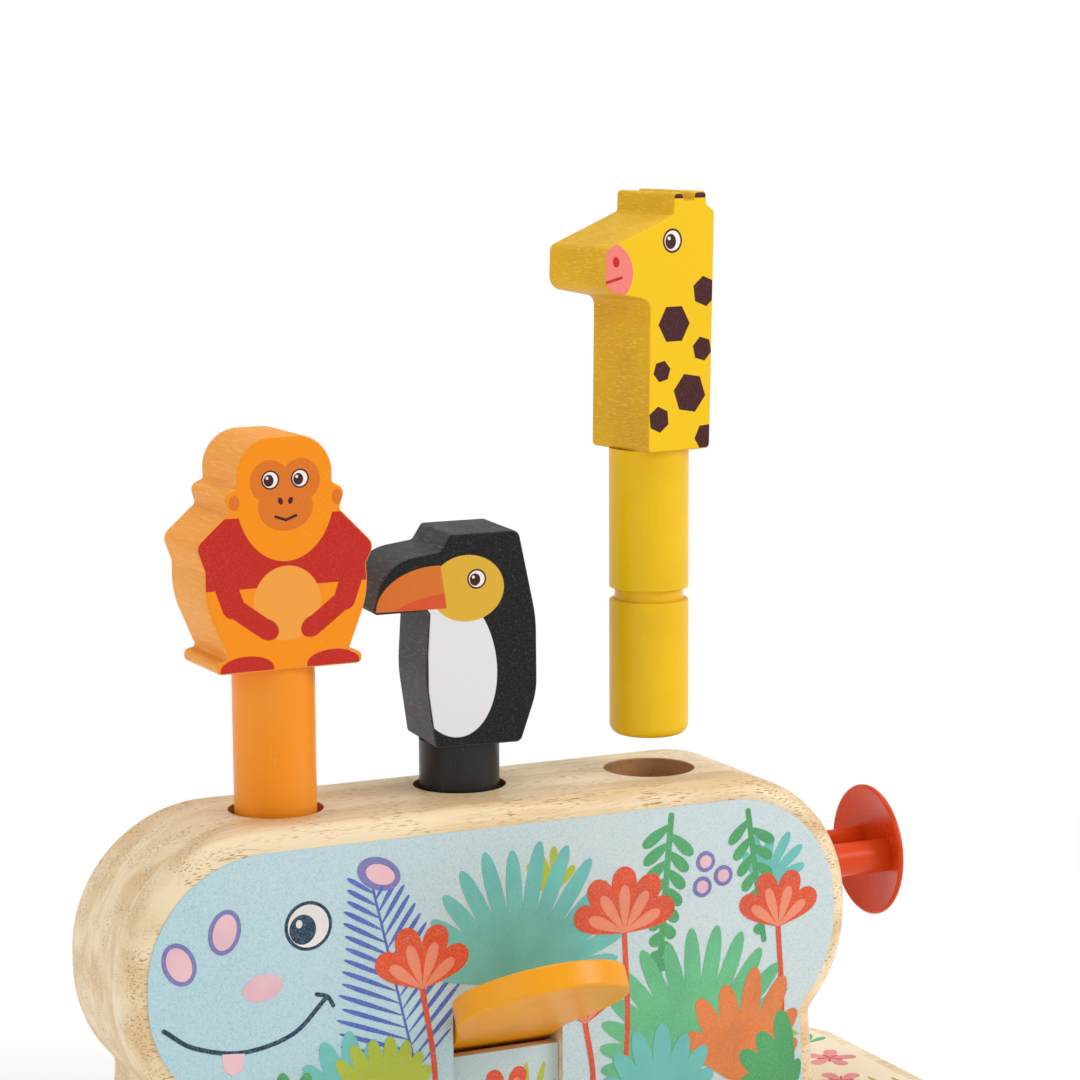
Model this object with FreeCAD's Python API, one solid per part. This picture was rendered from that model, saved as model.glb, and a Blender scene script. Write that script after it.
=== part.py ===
"""Pop up animal toy: a wooden hippo block on a board, with three peg figures that jump, rise or fly.

Millimetres. The origin is the centre of the board's underside. X runs along the hippo, Y to the
back and Z up.
"""
import FreeCAD, Part
import math
import os

from FreeCAD import Rotation, Vector

# Driving sizes of the board
BOARD_LENGTH = 270.0
BOARD_DEPTH = 90.0
BOARD_THICKNESS = 9.0
BOARD_CORNER = 15.0
BOARD_EDGE = 1.5
BOARD_PRINT_MARGIN = 5.0

# Driving sizes of the hippo block
BODY_LENGTH = 213.0
BODY_DEPTH = 50.0
BODY_HEIGHT = 96.0
BODY_LOBE_RADIUS = 38.0
BODY_LOBE_STRAIGHT = 4.0
BODY_NECK_INSET = 11.0
BODY_FOOT_FLARE = 2.0
BODY_NECK_ROUND = 4.0
BODY_EDGE = 5.6
SHEET_THICKNESS = 0.4

# Driving sizes of the pegs and their bores
PEG_RADIUS = 11.0
PEG_END_ROUND = 3.0
PEG_SOCKET_DEPTH = 14.0
PEG_TENON_RADIUS = 8.0
BORE_RADIUS = 12.75
BORE_SPACING = 55.7
TOUCAN_BORE_Y = 5.2
FIGURE_DEPTH = 25.0
FIGURE_EDGE = 0.7

# Driving sizes of the figures at rest: how far a block stands above the hippo, and its peg
MONKEY_HEIGHT = 39.4
MONKEY_PEG = 80.0
TOUCAN_HEIGHT = 13.0
GIRAFFE_HEIGHT = 90.0
GIRAFFE_PEG = 80.0
MONKEY_TURN = 0.7
TOUCAN_TURN = -5.3
GIRAFFE_TURN = 11.0
PRESSED_GAP = 1.0

# Driving sizes of the giraffe's groove
GROOVE_DROP = 40.4
GROOVE_WIDTH = 3.2
GROOVE_DEPTH = 1.5

# Driving sizes of the sprung plungers
PAD_THICKNESS = 1.5
PAD_INSET = 0.4
PLUNGER_HEAD = 5.0
PLUNGER_FLANGE = 3.0
COUNTERBORE_RADIUS = 15.0
SPRING_RADIUS = 10.0
SPRING_WIRE = 1.2

# Driving sizes of the lever and its slot
LEVER_TILT = 30.0
LEVER_THICKNESS = 7.0
LEVER_NECK_WIDTH = 31.0
LEVER_SIDE_ROOM = 0.7
PADDLE_RADIUS = 23.3
PADDLE_REACH = 24.0
NECK_OVERRUN = 1.5
LEVER_ARM = 30.0
PIVOT_SETBACK = 5.0
PIVOT_HEIGHT = 42.6
PIVOT_RADIUS = 1.5
PIVOT_LENGTH = 46.0
NOSE_RADIUS = 8.0
NOSE_ROOM = 1.2
SLOT_TOP_ROOM = 7.4
COVER_RECESS = 2.6
COVER_THICKNESS = 3.0
COVER_DROP = 5.6
LIFTER_THICKNESS = 8.0
LIFTER_ROOM = 6.4

# Driving sizes of the push knob and the latch behind it
KNOB_DROP = 31.4
KNOB_STAND_OFF = 20.0
KNOB_RADIUS = 18.9
KNOB_RIM = 1.6
KNOB_DISH = 2.6
KNOB_DOME = 4.4
KNOB_FLAT = 1.0
ROD_RADIUS = 4.75
ROD_SPREAD = 8.0
KNOB_TRAVEL = 10.0
CROSSHEAD_THICKNESS = 3.0
CROSSHEAD_MARGIN = 1.0
CROSSHEAD_HALF_HEIGHT = 5.6
CONE_LENGTH = 12.0
CONE_RADIUS = 5.3
CONE_TIP_RADIUS = 1.2
LATCH_POCKET_LENGTH = 17.0
LATCH_WALL = 10.5
POCKET_ROOM = 1.0
CLIP_WIRE_RADIUS = 0.8
CLIP_ROOM = 0.6
CLIP_BEND_ROOM = 2.0
KNOB_SPRING_RADIUS = 2.2
KNOB_SPRING_BORE = 1.2
LATCH_COVER_THICKNESS = 3.0
LATCH_COVER_MARGIN = 6.0
LATCH_COVER_END_MARGIN = 3.0
LATCH_COVER_LAND = 1.0
LATCH_SCREW_INSET = 3.2

# Driving sizes of the screws
SCREW_RADIUS = 1.75
SCREW_HEAD_RADIUS = 3.6
SCREW_LENGTH = 22.0
SMALL_SCREW_RADIUS = 1.2
SMALL_SCREW_HEAD_RADIUS = 2.4
SMALL_SCREW_LENGTH = 9.0
BASE_SCREW_X = 82.0
BASE_SCREW_Y = 13.0

# Named clearances
SEAT_GAP = 0.3
RUNNING_FIT = 0.05
SLIDE_FIT = 0.35
SOCKET_FIT = 0.02
CUT_OVERRUN = 1.0

# Places that follow from the sizes above
BODY_TOP = BOARD_THICKNESS + BODY_HEIGHT
FRONT = -BODY_DEPTH / 2
BACK = BODY_DEPTH / 2
KNOB_Z = BODY_TOP - KNOB_DROP
GUIDE_RADIUS = BORE_RADIUS - SLIDE_FIT
PIVOT_Y = FRONT + PIVOT_SETBACK
SLOT_HALF = LEVER_NECK_WIDTH / 2 + LEVER_SIDE_ROOM
SOCKET_RADIUS = PEG_TENON_RADIUS + SOCKET_FIT
BODY_END = BODY_LENGTH / 2
BODY_NECK_HALF = BODY_END - BODY_NECK_INSET
BODY_FOOT_HALF = BODY_NECK_HALF + BODY_FOOT_FLARE
X_MONKEY = -BORE_SPACING
X_GIRAFFE = BORE_SPACING

# Outlines of the figures from the front: across, up from the peg's shoulder, and corner radius
MONKEY_OUTLINE = [
    (-20.3, 0.0, 1.4), (20.2, 0.0, 1.4), (20.2, 3.2, 1.4), (16.5, 3.6, 0.9), (22.4, 18.5, 24.0),
    (21.8, 26.4, 1.0), (24.4, 31.2, 3.2), (14.5, 41.2, 1.2), (16.2, 46.2, 2.2), (12.5, 48.4, 0.9),
    (12.9, 61.0, 10.0), (-14.6, 61.0, 10.0), (-14.0, 48.2, 0.9), (-17.6, 46.6, 2.0),
    (-16.4, 41.8, 1.0), (-25.6, 33.8, 3.2), (-23.2, 27.2, 1.0), (-23.2, 18.5, 24.0),
    (-17.0, 3.8, 0.9), (-20.3, 3.2, 1.4),
]
TOUCAN_OUTLINE = [
    (-10.8, 0.0, 1.0), (13.6, 0.0, 2.0), (18.3, 13.5, 22.0), (18.2, 34.0, 40.0), (13.3, 58.0, 2.5),
    (-6.2, 57.8, 1.2), (-9.0, 53.4, 1.5), (-24.4, 51.2, 12.0), (-27.8, 37.2, 1.0),
    (-12.2, 37.4, 1.0), (-13.4, 19.0, 40.0),
]
GIRAFFE_OUTLINE = [
    (-10.2, 0.0, 1.5), (11.5, 0.0, 1.5), (13.0, 64.6, 1.4), (10.2, 66.4, 0.9), (10.0, 70.0, 1.2),
    (5.9, 70.0, 1.2), (5.5, 67.6, 0.5), (2.5, 67.6, 0.5), (2.1, 69.8, 1.2), (-1.3, 69.8, 1.2),
    (-1.5, 64.2, 1.0), (-24.5, 55.6, 2.0), (-25.0, 44.2, 4.0), (-9.6, 41.2, 3.0),
]


def save(node, shape):
    """Write one named piece as a STEP file."""
    shape.exportStep("parts/" + node + ".step")


def cylinder(radius, height, place, axis=Vector(0, 0, 1)):
    """A cylinder of a radius and height that starts at a place and runs along an axis."""
    return Part.makeCylinder(radius, height, place, axis)


def box(low, high):
    """A box between two opposite corners."""
    low = Vector(*low)
    return Part.makeBox(high[0] - low.x, high[1] - low.y, high[2] - low.z, low)


def rounded_face(corners, lift):
    """A flat face from (x, y, radius) corners; lift turns a plane point into a space point."""
    count = len(corners)
    edges = []
    ends = []
    for i in range(count):
        here = Vector(corners[i][0], corners[i][1], 0)
        before = Vector(corners[i - 1][0], corners[i - 1][1], 0)
        after = Vector(corners[(i + 1) % count][0], corners[(i + 1) % count][1], 0)
        into = (before - here).normalize()
        out = (after - here).normalize()
        half = into.getAngle(out) / 2
        cut = corners[i][2] / math.tan(half)
        bisector = (into + out).normalize()
        centre = here + bisector * (corners[i][2] / math.sin(half))
        middle = centre - bisector * corners[i][2]
        ends.append((here + into * cut, middle, here + out * cut))
    for i in range(count):
        start, middle, stop = (lift(point) for point in ends[i])
        edges.append(Part.Arc(start, middle, stop).toShape())
        following = lift(ends[(i + 1) % count][0])
        if stop.distanceToPoint(following) > 0.01:
            edges.append(Part.LineSegment(stop, following).toShape())
    return Part.Face(Part.Wire(Part.__sortEdges__(edges)))


def upright(point, depth):
    """A point of a front view, placed at a depth."""
    return Vector(point.x, depth, point.y)


def flat(point, height):
    """A point of a plan view, placed at a height."""
    return Vector(point.x, point.y, height)


def edges_at(shape, along, value):
    """The edges of a solid that lie wholly at one value of x, y or z."""
    found = []
    for edge in shape.Edges:
        low, high = getattr(edge.BoundBox, along + "Min"), getattr(edge.BoundBox, along + "Max")
        if abs(low - value) < 0.01 and abs(high - value) < 0.01:
            found.append(edge)
    return found


def rounded_plate(length, depth, corner, low, thickness):
    """A board with round corners, centred on the origin in plan."""
    x, y = length / 2, depth / 2
    corners = [(-x, -y, corner), (x, -y, corner), (x, y, corner), (-x, y, corner)]
    face = rounded_face(corners, lambda point: flat(point, low))
    return face.extrude(Vector(0, 0, thickness))


def hippo_face(depth, inset, bottom):
    """The hippo's front view: two round lobes over a neck and a slightly flared foot."""
    lobe = BODY_LOBE_RADIUS - inset
    x = BODY_END - BODY_LOBE_RADIUS
    top = BODY_TOP - BODY_LOBE_RADIUS
    low = top - BODY_LOBE_STRAIGHT
    neck = BODY_NECK_HALF - inset
    foot = BODY_FOOT_HALF - inset
    end_round = BODY_NECK_ROUND + inset
    foot_x = neck + end_round
    drop = math.sqrt((lobe + end_round) ** 2 - (foot_x - x) ** 2)
    centre = Vector(foot_x, low - drop, 0)
    towards = (Vector(x, low, 0) - centre).normalize()
    meet = centre + towards * end_round
    toe = Vector(neck, centre.y, 0)
    swing = (towards + Vector(-1, 0, 0)).normalize()
    bend = centre + swing * end_round
    heel = Vector(foot, bottom, 0)
    start = math.atan2(meet.y - low, meet.x - x) / 2
    belly = Vector(x + lobe * math.cos(start), low + lobe * math.sin(start), 0)
    side = Vector(x + lobe, low, 0)
    brow = Vector(x + lobe, top, 0)
    turn = math.cos(math.pi / 4) * lobe
    crown = Vector(x + turn, top + turn, 0)
    peak = Vector(x, top + lobe, 0)
    path = [("line", heel, toe), ("arc", toe, bend, meet), ("arc", meet, belly, side),
            ("line", side, brow), ("arc", brow, crown, peak)]
    edges = []
    for sign in (1, -1):
        for step in path:
            points = [upright(Vector(sign * p.x, p.y, 0), depth) for p in step[1:]]
            if step[0] == "line":
                edges.append(Part.LineSegment(*points).toShape())
            else:
                edges.append(Part.Arc(*points).toShape())
    for point in (heel, peak):
        left = upright(Vector(-point.x, point.y, 0), depth)
        edges.append(Part.LineSegment(left, upright(point, depth)).toShape())
    return Part.Face(Part.Wire(Part.__sortEdges__(edges)))


def screw(radius, head_radius, length, place, axis):
    """A countersunk wood screw: a cone head, a shank and a pointed end with a cross recess."""
    head_height = head_radius - radius
    tip = radius * 2
    head = Part.makeCone(head_radius, radius, head_height, place, axis)
    shank = cylinder(radius, length - head_height - tip, place + axis * head_height, axis)
    point = Part.makeCone(radius, radius / 4, tip, place + axis * (length - tip), axis)
    solid = head.fuse(shank).fuse(point)
    arm, width = head_radius * 1.1, radius * 0.5
    for along, across in ((arm, width), (width, arm)):
        slot = Part.makeBox(along, across, head_height * 1.4)
        slot.translate(Vector(-along / 2, -across / 2, -head_height * 0.7))
        slot.Placement = FreeCAD.Placement(place, Rotation(Vector(0, 0, 1), axis)) * slot.Placement
        solid = solid.cut(slot)
    return solid.removeSplitter()


def screw_hole(radius, head_radius, length, place, axis):
    """The hole that a countersunk screw fills, a seat gap larger than the screw."""
    head_height = head_radius - radius
    reach = radius + SOCKET_FIT
    head = Part.makeCone(head_radius + SOCKET_FIT, reach, head_height, place, axis)
    return head.fuse(cylinder(reach, length + SEAT_GAP, place, axis))


MONKEY_PEG_BOTTOM = BODY_TOP + MONKEY_HEIGHT - MONKEY_PEG
GIRAFFE_PEG_BOTTOM = BODY_TOP + GIRAFFE_HEIGHT - GIRAFFE_PEG
PAD_TOP = MONKEY_PEG_BOTTOM
PLUNGER_TOP = PAD_TOP - PAD_THICKNESS
SHOULDER_Z = PLUNGER_TOP - PLUNGER_HEAD + SEAT_GAP
PLUNGER_UNDERSIDE = PLUNGER_TOP - PLUNGER_HEAD - PLUNGER_FLANGE
LIFTER_UNDERSIDE = PIVOT_HEIGHT + LIFTER_ROOM
TOUCAN_PEG_BOTTOM = LIFTER_UNDERSIDE + LIFTER_THICKNESS + PAD_THICKNESS
TOUCAN_PEG = BODY_TOP + TOUCAN_HEIGHT - TOUCAN_PEG_BOTTOM
COVER_TOP = PIVOT_HEIGHT - COVER_DROP
COVER_FRONT = FRONT + COVER_RECESS
POCKET_LEFT = BODY_END - LATCH_WALL - LATCH_POCKET_LENGTH
POCKET_RIGHT = BODY_END - LATCH_WALL
CROSSHEAD_RIGHT = POCKET_RIGHT - SEAT_GAP
CROSSHEAD_LEFT = CROSSHEAD_RIGHT - CROSSHEAD_THICKNESS
ROD_BORE_RADIUS = ROD_RADIUS + SLIDE_FIT
CROSSHEAD_HALF_WIDTH = ROD_SPREAD + ROD_RADIUS + CROSSHEAD_MARGIN
POCKET_HALF_WIDTH = CROSSHEAD_HALF_WIDTH + POCKET_ROOM
POCKET_HALF_HEIGHT = CROSSHEAD_HALF_HEIGHT + POCKET_ROOM
CONE_TIP_X = CROSSHEAD_LEFT - CONE_LENGTH
CLIP_LEG_Y = PEG_RADIUS - GROOVE_DEPTH + CLIP_WIRE_RADIUS
CLIP_LEG_END_X = CONE_TIP_X - SEAT_GAP
CLIP_BEND_X = X_GIRAFFE - BORE_RADIUS - CLIP_WIRE_RADIUS
CLIP_SLOT_HALF = CLIP_WIRE_RADIUS + CLIP_ROOM
LATCH_COVER_LOW_X = CLIP_BEND_X - CLIP_LEG_Y - LATCH_COVER_MARGIN
LATCH_COVER_HIGH_X = POCKET_RIGHT + LATCH_COVER_END_MARGIN
LATCH_COVER_HALF_HEIGHT = POCKET_HALF_HEIGHT + LATCH_COVER_MARGIN


def lever_floor_z():
    """The height of the lever's inner tip at rest, which stands on the slot's floor."""
    tilt = math.radians(LEVER_TILT)
    return PIVOT_HEIGHT - LEVER_ARM * math.sin(tilt) - LEVER_THICKNESS / 2 * math.cos(tilt)


def base_screw_places():
    """The four screws up through the board into the hippo's foot."""
    return [Vector(sx * BASE_SCREW_X, sy * BASE_SCREW_Y, 0) for sx in (-1, 1) for sy in (-1, 1)]


def latch_screw_places():
    """The four small screws of the latch cover, above and below the clip and the pocket."""
    height = LATCH_COVER_HALF_HEIGHT - LATCH_SCREW_INSET
    places = []
    for x in (LATCH_COVER_LOW_X + LATCH_SCREW_INSET, POCKET_RIGHT - LATCH_COVER_MARGIN):
        for side in (-1, 1):
            places.append(Vector(x, BACK, KNOB_Z + side * height))
    return places


def latch_cover_plate(gap):
    """The latch cover's plate, smaller by a gap all round and kept inside the back's flat."""
    plate = box(
        (LATCH_COVER_LOW_X + gap, BACK - LATCH_COVER_THICKNESS, KNOB_Z - LATCH_COVER_HALF_HEIGHT + gap),
        (LATCH_COVER_HIGH_X - gap, BACK, KNOB_Z + LATCH_COVER_HALF_HEIGHT - gap),
    )
    face = hippo_face(BACK - LATCH_COVER_THICKNESS, BODY_EDGE + LATCH_COVER_LAND + gap, BOARD_THICKNESS)
    return plate.common(face.extrude(Vector(0, LATCH_COVER_THICKNESS, 0)))


def base_board():
    """The board that the toy stands on, with round corners and eased edges."""
    board = rounded_plate(BOARD_LENGTH, BOARD_DEPTH, BOARD_CORNER, 0, BOARD_THICKNESS)
    rims = edges_at(board, "Z", 0) + edges_at(board, "Z", BOARD_THICKNESS)
    board = board.makeFillet(BOARD_EDGE, rims)
    for place in base_screw_places():
        hole = screw_hole(SCREW_RADIUS, SCREW_HEAD_RADIUS, SCREW_LENGTH, place, Vector(0, 0, 1))
        board = board.cut(hole)
    return board


def base_picture_sheet():
    """The printed sheet on the board's top, open where the hippo stands."""
    length = BOARD_LENGTH - 2 * BOARD_PRINT_MARGIN
    depth = BOARD_DEPTH - 2 * BOARD_PRINT_MARGIN
    corner = BOARD_CORNER - BOARD_PRINT_MARGIN
    sheet = rounded_plate(length, depth, corner, BOARD_THICKNESS, SHEET_THICKNESS)
    half = BODY_FOOT_HALF + SEAT_GAP
    low = (-half, FRONT - SEAT_GAP, BOARD_THICKNESS - CUT_OVERRUN)
    high = (half, BACK + SEAT_GAP, BOARD_THICKNESS + SHEET_THICKNESS + CUT_OVERRUN)
    return sheet.cut(box(low, high))


def body_openings():
    """Every hollow of the hippo block: bores, the lever's slot, the latch pocket and holes."""
    cuts = []
    for x in (X_MONKEY, X_GIRAFFE):
        cuts.append(cylinder(BORE_RADIUS, BODY_HEIGHT, Vector(x, 0, BOARD_THICKNESS)))
        depth = SHOULDER_Z - BOARD_THICKNESS
        cuts.append(cylinder(COUNTERBORE_RADIUS, depth, Vector(x, 0, BOARD_THICKNESS)))
    slot_top = PIVOT_HEIGHT + SLOT_TOP_ROOM
    slot_back = TOUCAN_BORE_Y + NOSE_RADIUS + NOSE_ROOM
    bore_low = Vector(0, TOUCAN_BORE_Y, PIVOT_HEIGHT)
    cuts.append(cylinder(BORE_RADIUS, BODY_TOP - PIVOT_HEIGHT, bore_low))
    floor = lever_floor_z()
    cuts.append(box((-SLOT_HALF, FRONT, floor), (SLOT_HALF, slot_back, slot_top)))
    recess = COVER_RECESS + COVER_THICKNESS
    recess_top = floor + CUT_OVERRUN
    cuts.append(box((-SLOT_HALF, FRONT, BOARD_THICKNESS), (SLOT_HALF, FRONT + recess, recess_top)))
    pin = Vector(-PIVOT_LENGTH / 2, PIVOT_Y, PIVOT_HEIGHT)
    cuts.append(cylinder(PIVOT_RADIUS + SOCKET_FIT, PIVOT_LENGTH, pin, Vector(1, 0, 0)))
    relief_x = CONE_TIP_X - KNOB_TRAVEL - SEAT_GAP
    relief = POCKET_LEFT + CUT_OVERRUN - relief_x
    for y in (-ROD_SPREAD, ROD_SPREAD):
        reach = BODY_END - POCKET_LEFT
        along = Vector(1, 0, 0)
        cuts.append(cylinder(ROD_BORE_RADIUS, reach, Vector(POCKET_LEFT, y, KNOB_Z), along))
        cuts.append(cylinder(CONE_RADIUS + SEAT_GAP, relief, Vector(relief_x, y, KNOB_Z), along))
    cuts.append(box(
        (POCKET_LEFT, -POCKET_HALF_WIDTH, KNOB_Z - POCKET_HALF_HEIGHT),
        (POCKET_RIGHT, BACK, KNOB_Z + POCKET_HALF_HEIGHT),
    ))
    cuts.append(box(
        (CLIP_BEND_X - CLIP_LEG_Y - CLIP_BEND_ROOM, -POCKET_HALF_WIDTH, KNOB_Z - CLIP_SLOT_HALF),
        (POCKET_LEFT + CUT_OVERRUN, BACK, KNOB_Z + CLIP_SLOT_HALF),
    ))
    cuts.append(latch_cover_plate(0))
    for place in base_screw_places():
        hole = screw_hole(SCREW_RADIUS, SCREW_HEAD_RADIUS, SCREW_LENGTH, place, Vector(0, 0, 1))
        cuts.append(hole)
    for place in latch_screw_places():
        cuts.append(screw_hole(
            SMALL_SCREW_RADIUS, SMALL_SCREW_HEAD_RADIUS, SMALL_SCREW_LENGTH, place, Vector(0, -1, 0)
        ))
    return cuts


def hippo_body():
    """The hippo block, rounded all along its outline and hollowed for what it carries."""
    body = hippo_face(FRONT, 0, BOARD_THICKNESS).extrude(Vector(0, BODY_DEPTH, 0))
    rims = []
    for edge in edges_at(body, "Y", FRONT) + edges_at(body, "Y", BACK):
        if edge.BoundBox.ZMax > BOARD_THICKNESS + 0.01:
            rims.append(edge)
    body = body.makeFillet(BODY_EDGE, rims)
    for cut in body_openings():
        body = body.cut(cut)
    return body


def front_picture_sheet():
    """The printed sheet glued on the hippo's front, inside the round edge."""
    face = hippo_face(FRONT - SHEET_THICKNESS, BODY_EDGE, BOARD_THICKNESS + SEAT_GAP + SHEET_THICKNESS)
    sheet = face.extrude(Vector(0, SHEET_THICKNESS, 0))
    top = PIVOT_HEIGHT + SLOT_TOP_ROOM
    low = (-SLOT_HALF, FRONT - CUT_OVERRUN, BOARD_THICKNESS)
    return sheet.cut(box(low, (SLOT_HALF, FRONT + CUT_OVERRUN, top)))


def slot_cover():
    """The board that closes the slot's front below the lever, set back from the face."""
    x = SLOT_HALF - SEAT_GAP / 2
    low = (-x, COVER_FRONT, BOARD_THICKNESS)
    return box(low, (x, COVER_FRONT + COVER_THICKNESS, COVER_TOP))


def slot_cover_sheet():
    """The printed sheet on the slot's cover."""
    x = SLOT_HALF - SEAT_GAP / 2
    low = (-x, COVER_FRONT - SHEET_THICKNESS, BOARD_THICKNESS + SEAT_GAP + SHEET_THICKNESS)
    return box(low, (x, COVER_FRONT, COVER_TOP))


def lever_paddle():
    """The lever: a round paddle outside, a plank through the slot and an arm under the lifter."""
    half = LEVER_NECK_WIDTH / 2
    low = -LEVER_THICKNESS / 2
    run = PADDLE_REACH + PIVOT_SETBACK / math.cos(math.radians(LEVER_TILT))
    disc = cylinder(PADDLE_RADIUS, LEVER_THICKNESS, Vector(0, -run, low))
    neck_y = -PIVOT_SETBACK / math.cos(math.radians(LEVER_TILT)) - NECK_OVERRUN
    away = run + neck_y
    lean = math.asin(PADDLE_RADIUS / math.hypot(away, half)) - math.atan2(half, away)
    side_x = PADDLE_RADIUS * math.cos(lean)
    side_y = -run + PADDLE_RADIUS * math.sin(lean)
    plan = [(-half, neck_y), (-side_x, side_y), (side_x, side_y), (half, neck_y),
            (half, LEVER_ARM), (-half, LEVER_ARM)]
    points = [Vector(x, y, low) for x, y in plan]
    plank = Part.Face(Part.makePolygon(points + points[:1])).extrude(Vector(0, 0, LEVER_THICKNESS))
    lever = disc.fuse(plank).removeSplitter()
    rims = []
    for edge in edges_at(lever, "Z", low) + edges_at(lever, "Z", -low):
        if edge.BoundBox.YMin < -run:
            rims.append(edge)
    lever = lever.makeFillet(FIGURE_EDGE, rims)
    pin = Vector(-PIVOT_LENGTH / 2, 0, 0)
    lever = lever.cut(cylinder(PIVOT_RADIUS + RUNNING_FIT, PIVOT_LENGTH, pin, Vector(1, 0, 0)))
    lever.rotate(Vector(0, 0, 0), Vector(1, 0, 0), -LEVER_TILT)
    lever.translate(Vector(0, PIVOT_Y, PIVOT_HEIGHT))
    return lever


def lifter():
    """The toucan's lifter: a guided disc on a round nose that rides on the lever's arm."""
    tilt = math.radians(LEVER_TILT)
    offset = LEVER_THICKNESS / 2 + NOSE_RADIUS
    reach = TOUCAN_BORE_Y - PIVOT_Y
    nose_z = PIVOT_HEIGHT - reach * math.tan(tilt) + offset / math.cos(tilt) + SEAT_GAP
    place = Vector(0, TOUCAN_BORE_Y, nose_z)
    ball = Part.makeSphere(NOSE_RADIUS, place)
    stem = cylinder(NOSE_RADIUS, LIFTER_UNDERSIDE - nose_z + CUT_OVERRUN, place)
    disc_place = Vector(0, TOUCAN_BORE_Y, LIFTER_UNDERSIDE)
    disc = cylinder(GUIDE_RADIUS, LIFTER_THICKNESS, disc_place)
    return ball.fuse(stem).fuse(disc).removeSplitter()


def pad(x, y, top):
    """A felt disc under a peg."""
    return cylinder(GUIDE_RADIUS - PAD_INSET, PAD_THICKNESS, Vector(x, y, top - PAD_THICKNESS))


def plunger(x):
    """A wooden plunger with a flange that stops under the bore's shoulder."""
    height = PLUNGER_HEAD + CUT_OVERRUN
    head = cylinder(GUIDE_RADIUS, height, Vector(x, 0, PLUNGER_TOP - height))
    place = Vector(x, 0, PLUNGER_UNDERSIDE)
    flange = cylinder(COUNTERBORE_RADIUS - SLIDE_FIT, PLUNGER_FLANGE, place)
    return head.fuse(flange).removeSplitter()


def plunger_spring(x):
    """The outer shape of a plunger's coil spring, from the board to the plunger."""
    height = PLUNGER_UNDERSIDE - BOARD_THICKNESS
    place = Vector(x, 0, BOARD_THICKNESS)
    outside = cylinder(SPRING_RADIUS + SPRING_WIRE / 2, height, place)
    return outside.cut(cylinder(SPRING_RADIUS - SPRING_WIRE / 2, height, place))


def figure_block(outline, x, y, bottom, turn):
    """A figure cut from thick board, with eased edges and a socket for its peg."""
    face = rounded_face(outline, lambda point: upright(point, -FIGURE_DEPTH / 2))
    block = face.extrude(Vector(0, FIGURE_DEPTH, 0))
    rims = edges_at(block, "Y", -FIGURE_DEPTH / 2) + edges_at(block, "Y", FIGURE_DEPTH / 2)
    block = block.makeFillet(FIGURE_EDGE, rims)
    block = block.cut(cylinder(SOCKET_RADIUS, PEG_SOCKET_DEPTH, Vector(0, 0, 0)))
    block.rotate(Vector(0, 0, 0), Vector(0, 0, 1), turn)
    block.translate(Vector(x, y, bottom))
    return block


def peg(x, y, bottom, length):
    """A round peg with a rounded lower end and a tenon glued into its figure."""
    body = cylinder(PEG_RADIUS, length, Vector(x, y, bottom))
    body = body.makeFillet(PEG_END_ROUND, edges_at(body, "Z", bottom))
    tenon = PEG_SOCKET_DEPTH - SEAT_GAP
    return body.fuse(cylinder(PEG_TENON_RADIUS, tenon, Vector(x, y, bottom + length)))


def giraffe_peg():
    """The giraffe's peg, with the ring groove that the latch clip holds."""
    shape = peg(X_GIRAFFE, 0, GIRAFFE_PEG_BOTTOM, GIRAFFE_PEG)
    middle = GIRAFFE_PEG_BOTTOM + GIRAFFE_PEG - GROOVE_DROP
    place = Vector(X_GIRAFFE, 0, middle - GROOVE_WIDTH / 2)
    ring = cylinder(PEG_RADIUS + CUT_OVERRUN, GROOVE_WIDTH, place)
    ring = ring.cut(cylinder(PEG_RADIUS - GROOVE_DEPTH, GROOVE_WIDTH, place))
    shape = shape.cut(ring)
    lips = []
    for height in (middle - GROOVE_WIDTH / 2, middle + GROOVE_WIDTH / 2):
        for edge in edges_at(shape, "Z", height):
            if abs(edge.Curve.Radius - PEG_RADIUS) < 0.01:
                lips.append(edge)
    return shape.makeFillet(GROOVE_DEPTH / 3, lips)


def knob_disc():
    """The push knob: a thin round cap, dished towards the hippo and domed outside."""
    rim_x = BODY_END + KNOB_STAND_OFF
    inner = Part.Arc(
        Vector(rim_x + KNOB_DISH, KNOB_FLAT, 0),
        Vector(rim_x + KNOB_DISH * 0.72, KNOB_RADIUS / 2, 0),
        Vector(rim_x, KNOB_RADIUS - KNOB_RIM / 2, 0),
    )
    lip = Part.Arc(
        Vector(rim_x, KNOB_RADIUS - KNOB_RIM / 2, 0),
        Vector(rim_x + KNOB_RIM / 2, KNOB_RADIUS, 0),
        Vector(rim_x + KNOB_RIM, KNOB_RADIUS - KNOB_RIM / 2, 0),
    )
    outer = Part.Arc(
        Vector(rim_x + KNOB_RIM, KNOB_RADIUS - KNOB_RIM / 2, 0),
        Vector(rim_x + KNOB_RIM + KNOB_DOME * 0.76, KNOB_RADIUS / 2, 0),
        Vector(rim_x + KNOB_RIM + KNOB_DOME, KNOB_FLAT, 0),
    )
    pole = Vector(rim_x + KNOB_RIM + KNOB_DOME, 0, 0)
    centre = Vector(rim_x + KNOB_DISH, 0, 0)
    rest = [
        Part.LineSegment(outer.EndPoint, pole),
        Part.LineSegment(pole, centre),
        Part.LineSegment(centre, inner.StartPoint),
    ]
    wire = Part.Wire([curve.toShape() for curve in [inner, lip, outer] + rest])
    disc = Part.Face(wire).revolve(Vector(0, 0, 0), Vector(1, 0, 0), 360)
    disc.translate(Vector(0, 0, KNOB_Z))
    for y in (-ROD_SPREAD, ROD_SPREAD):
        disc = disc.cut(knob_rod(y))
    return disc


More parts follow.
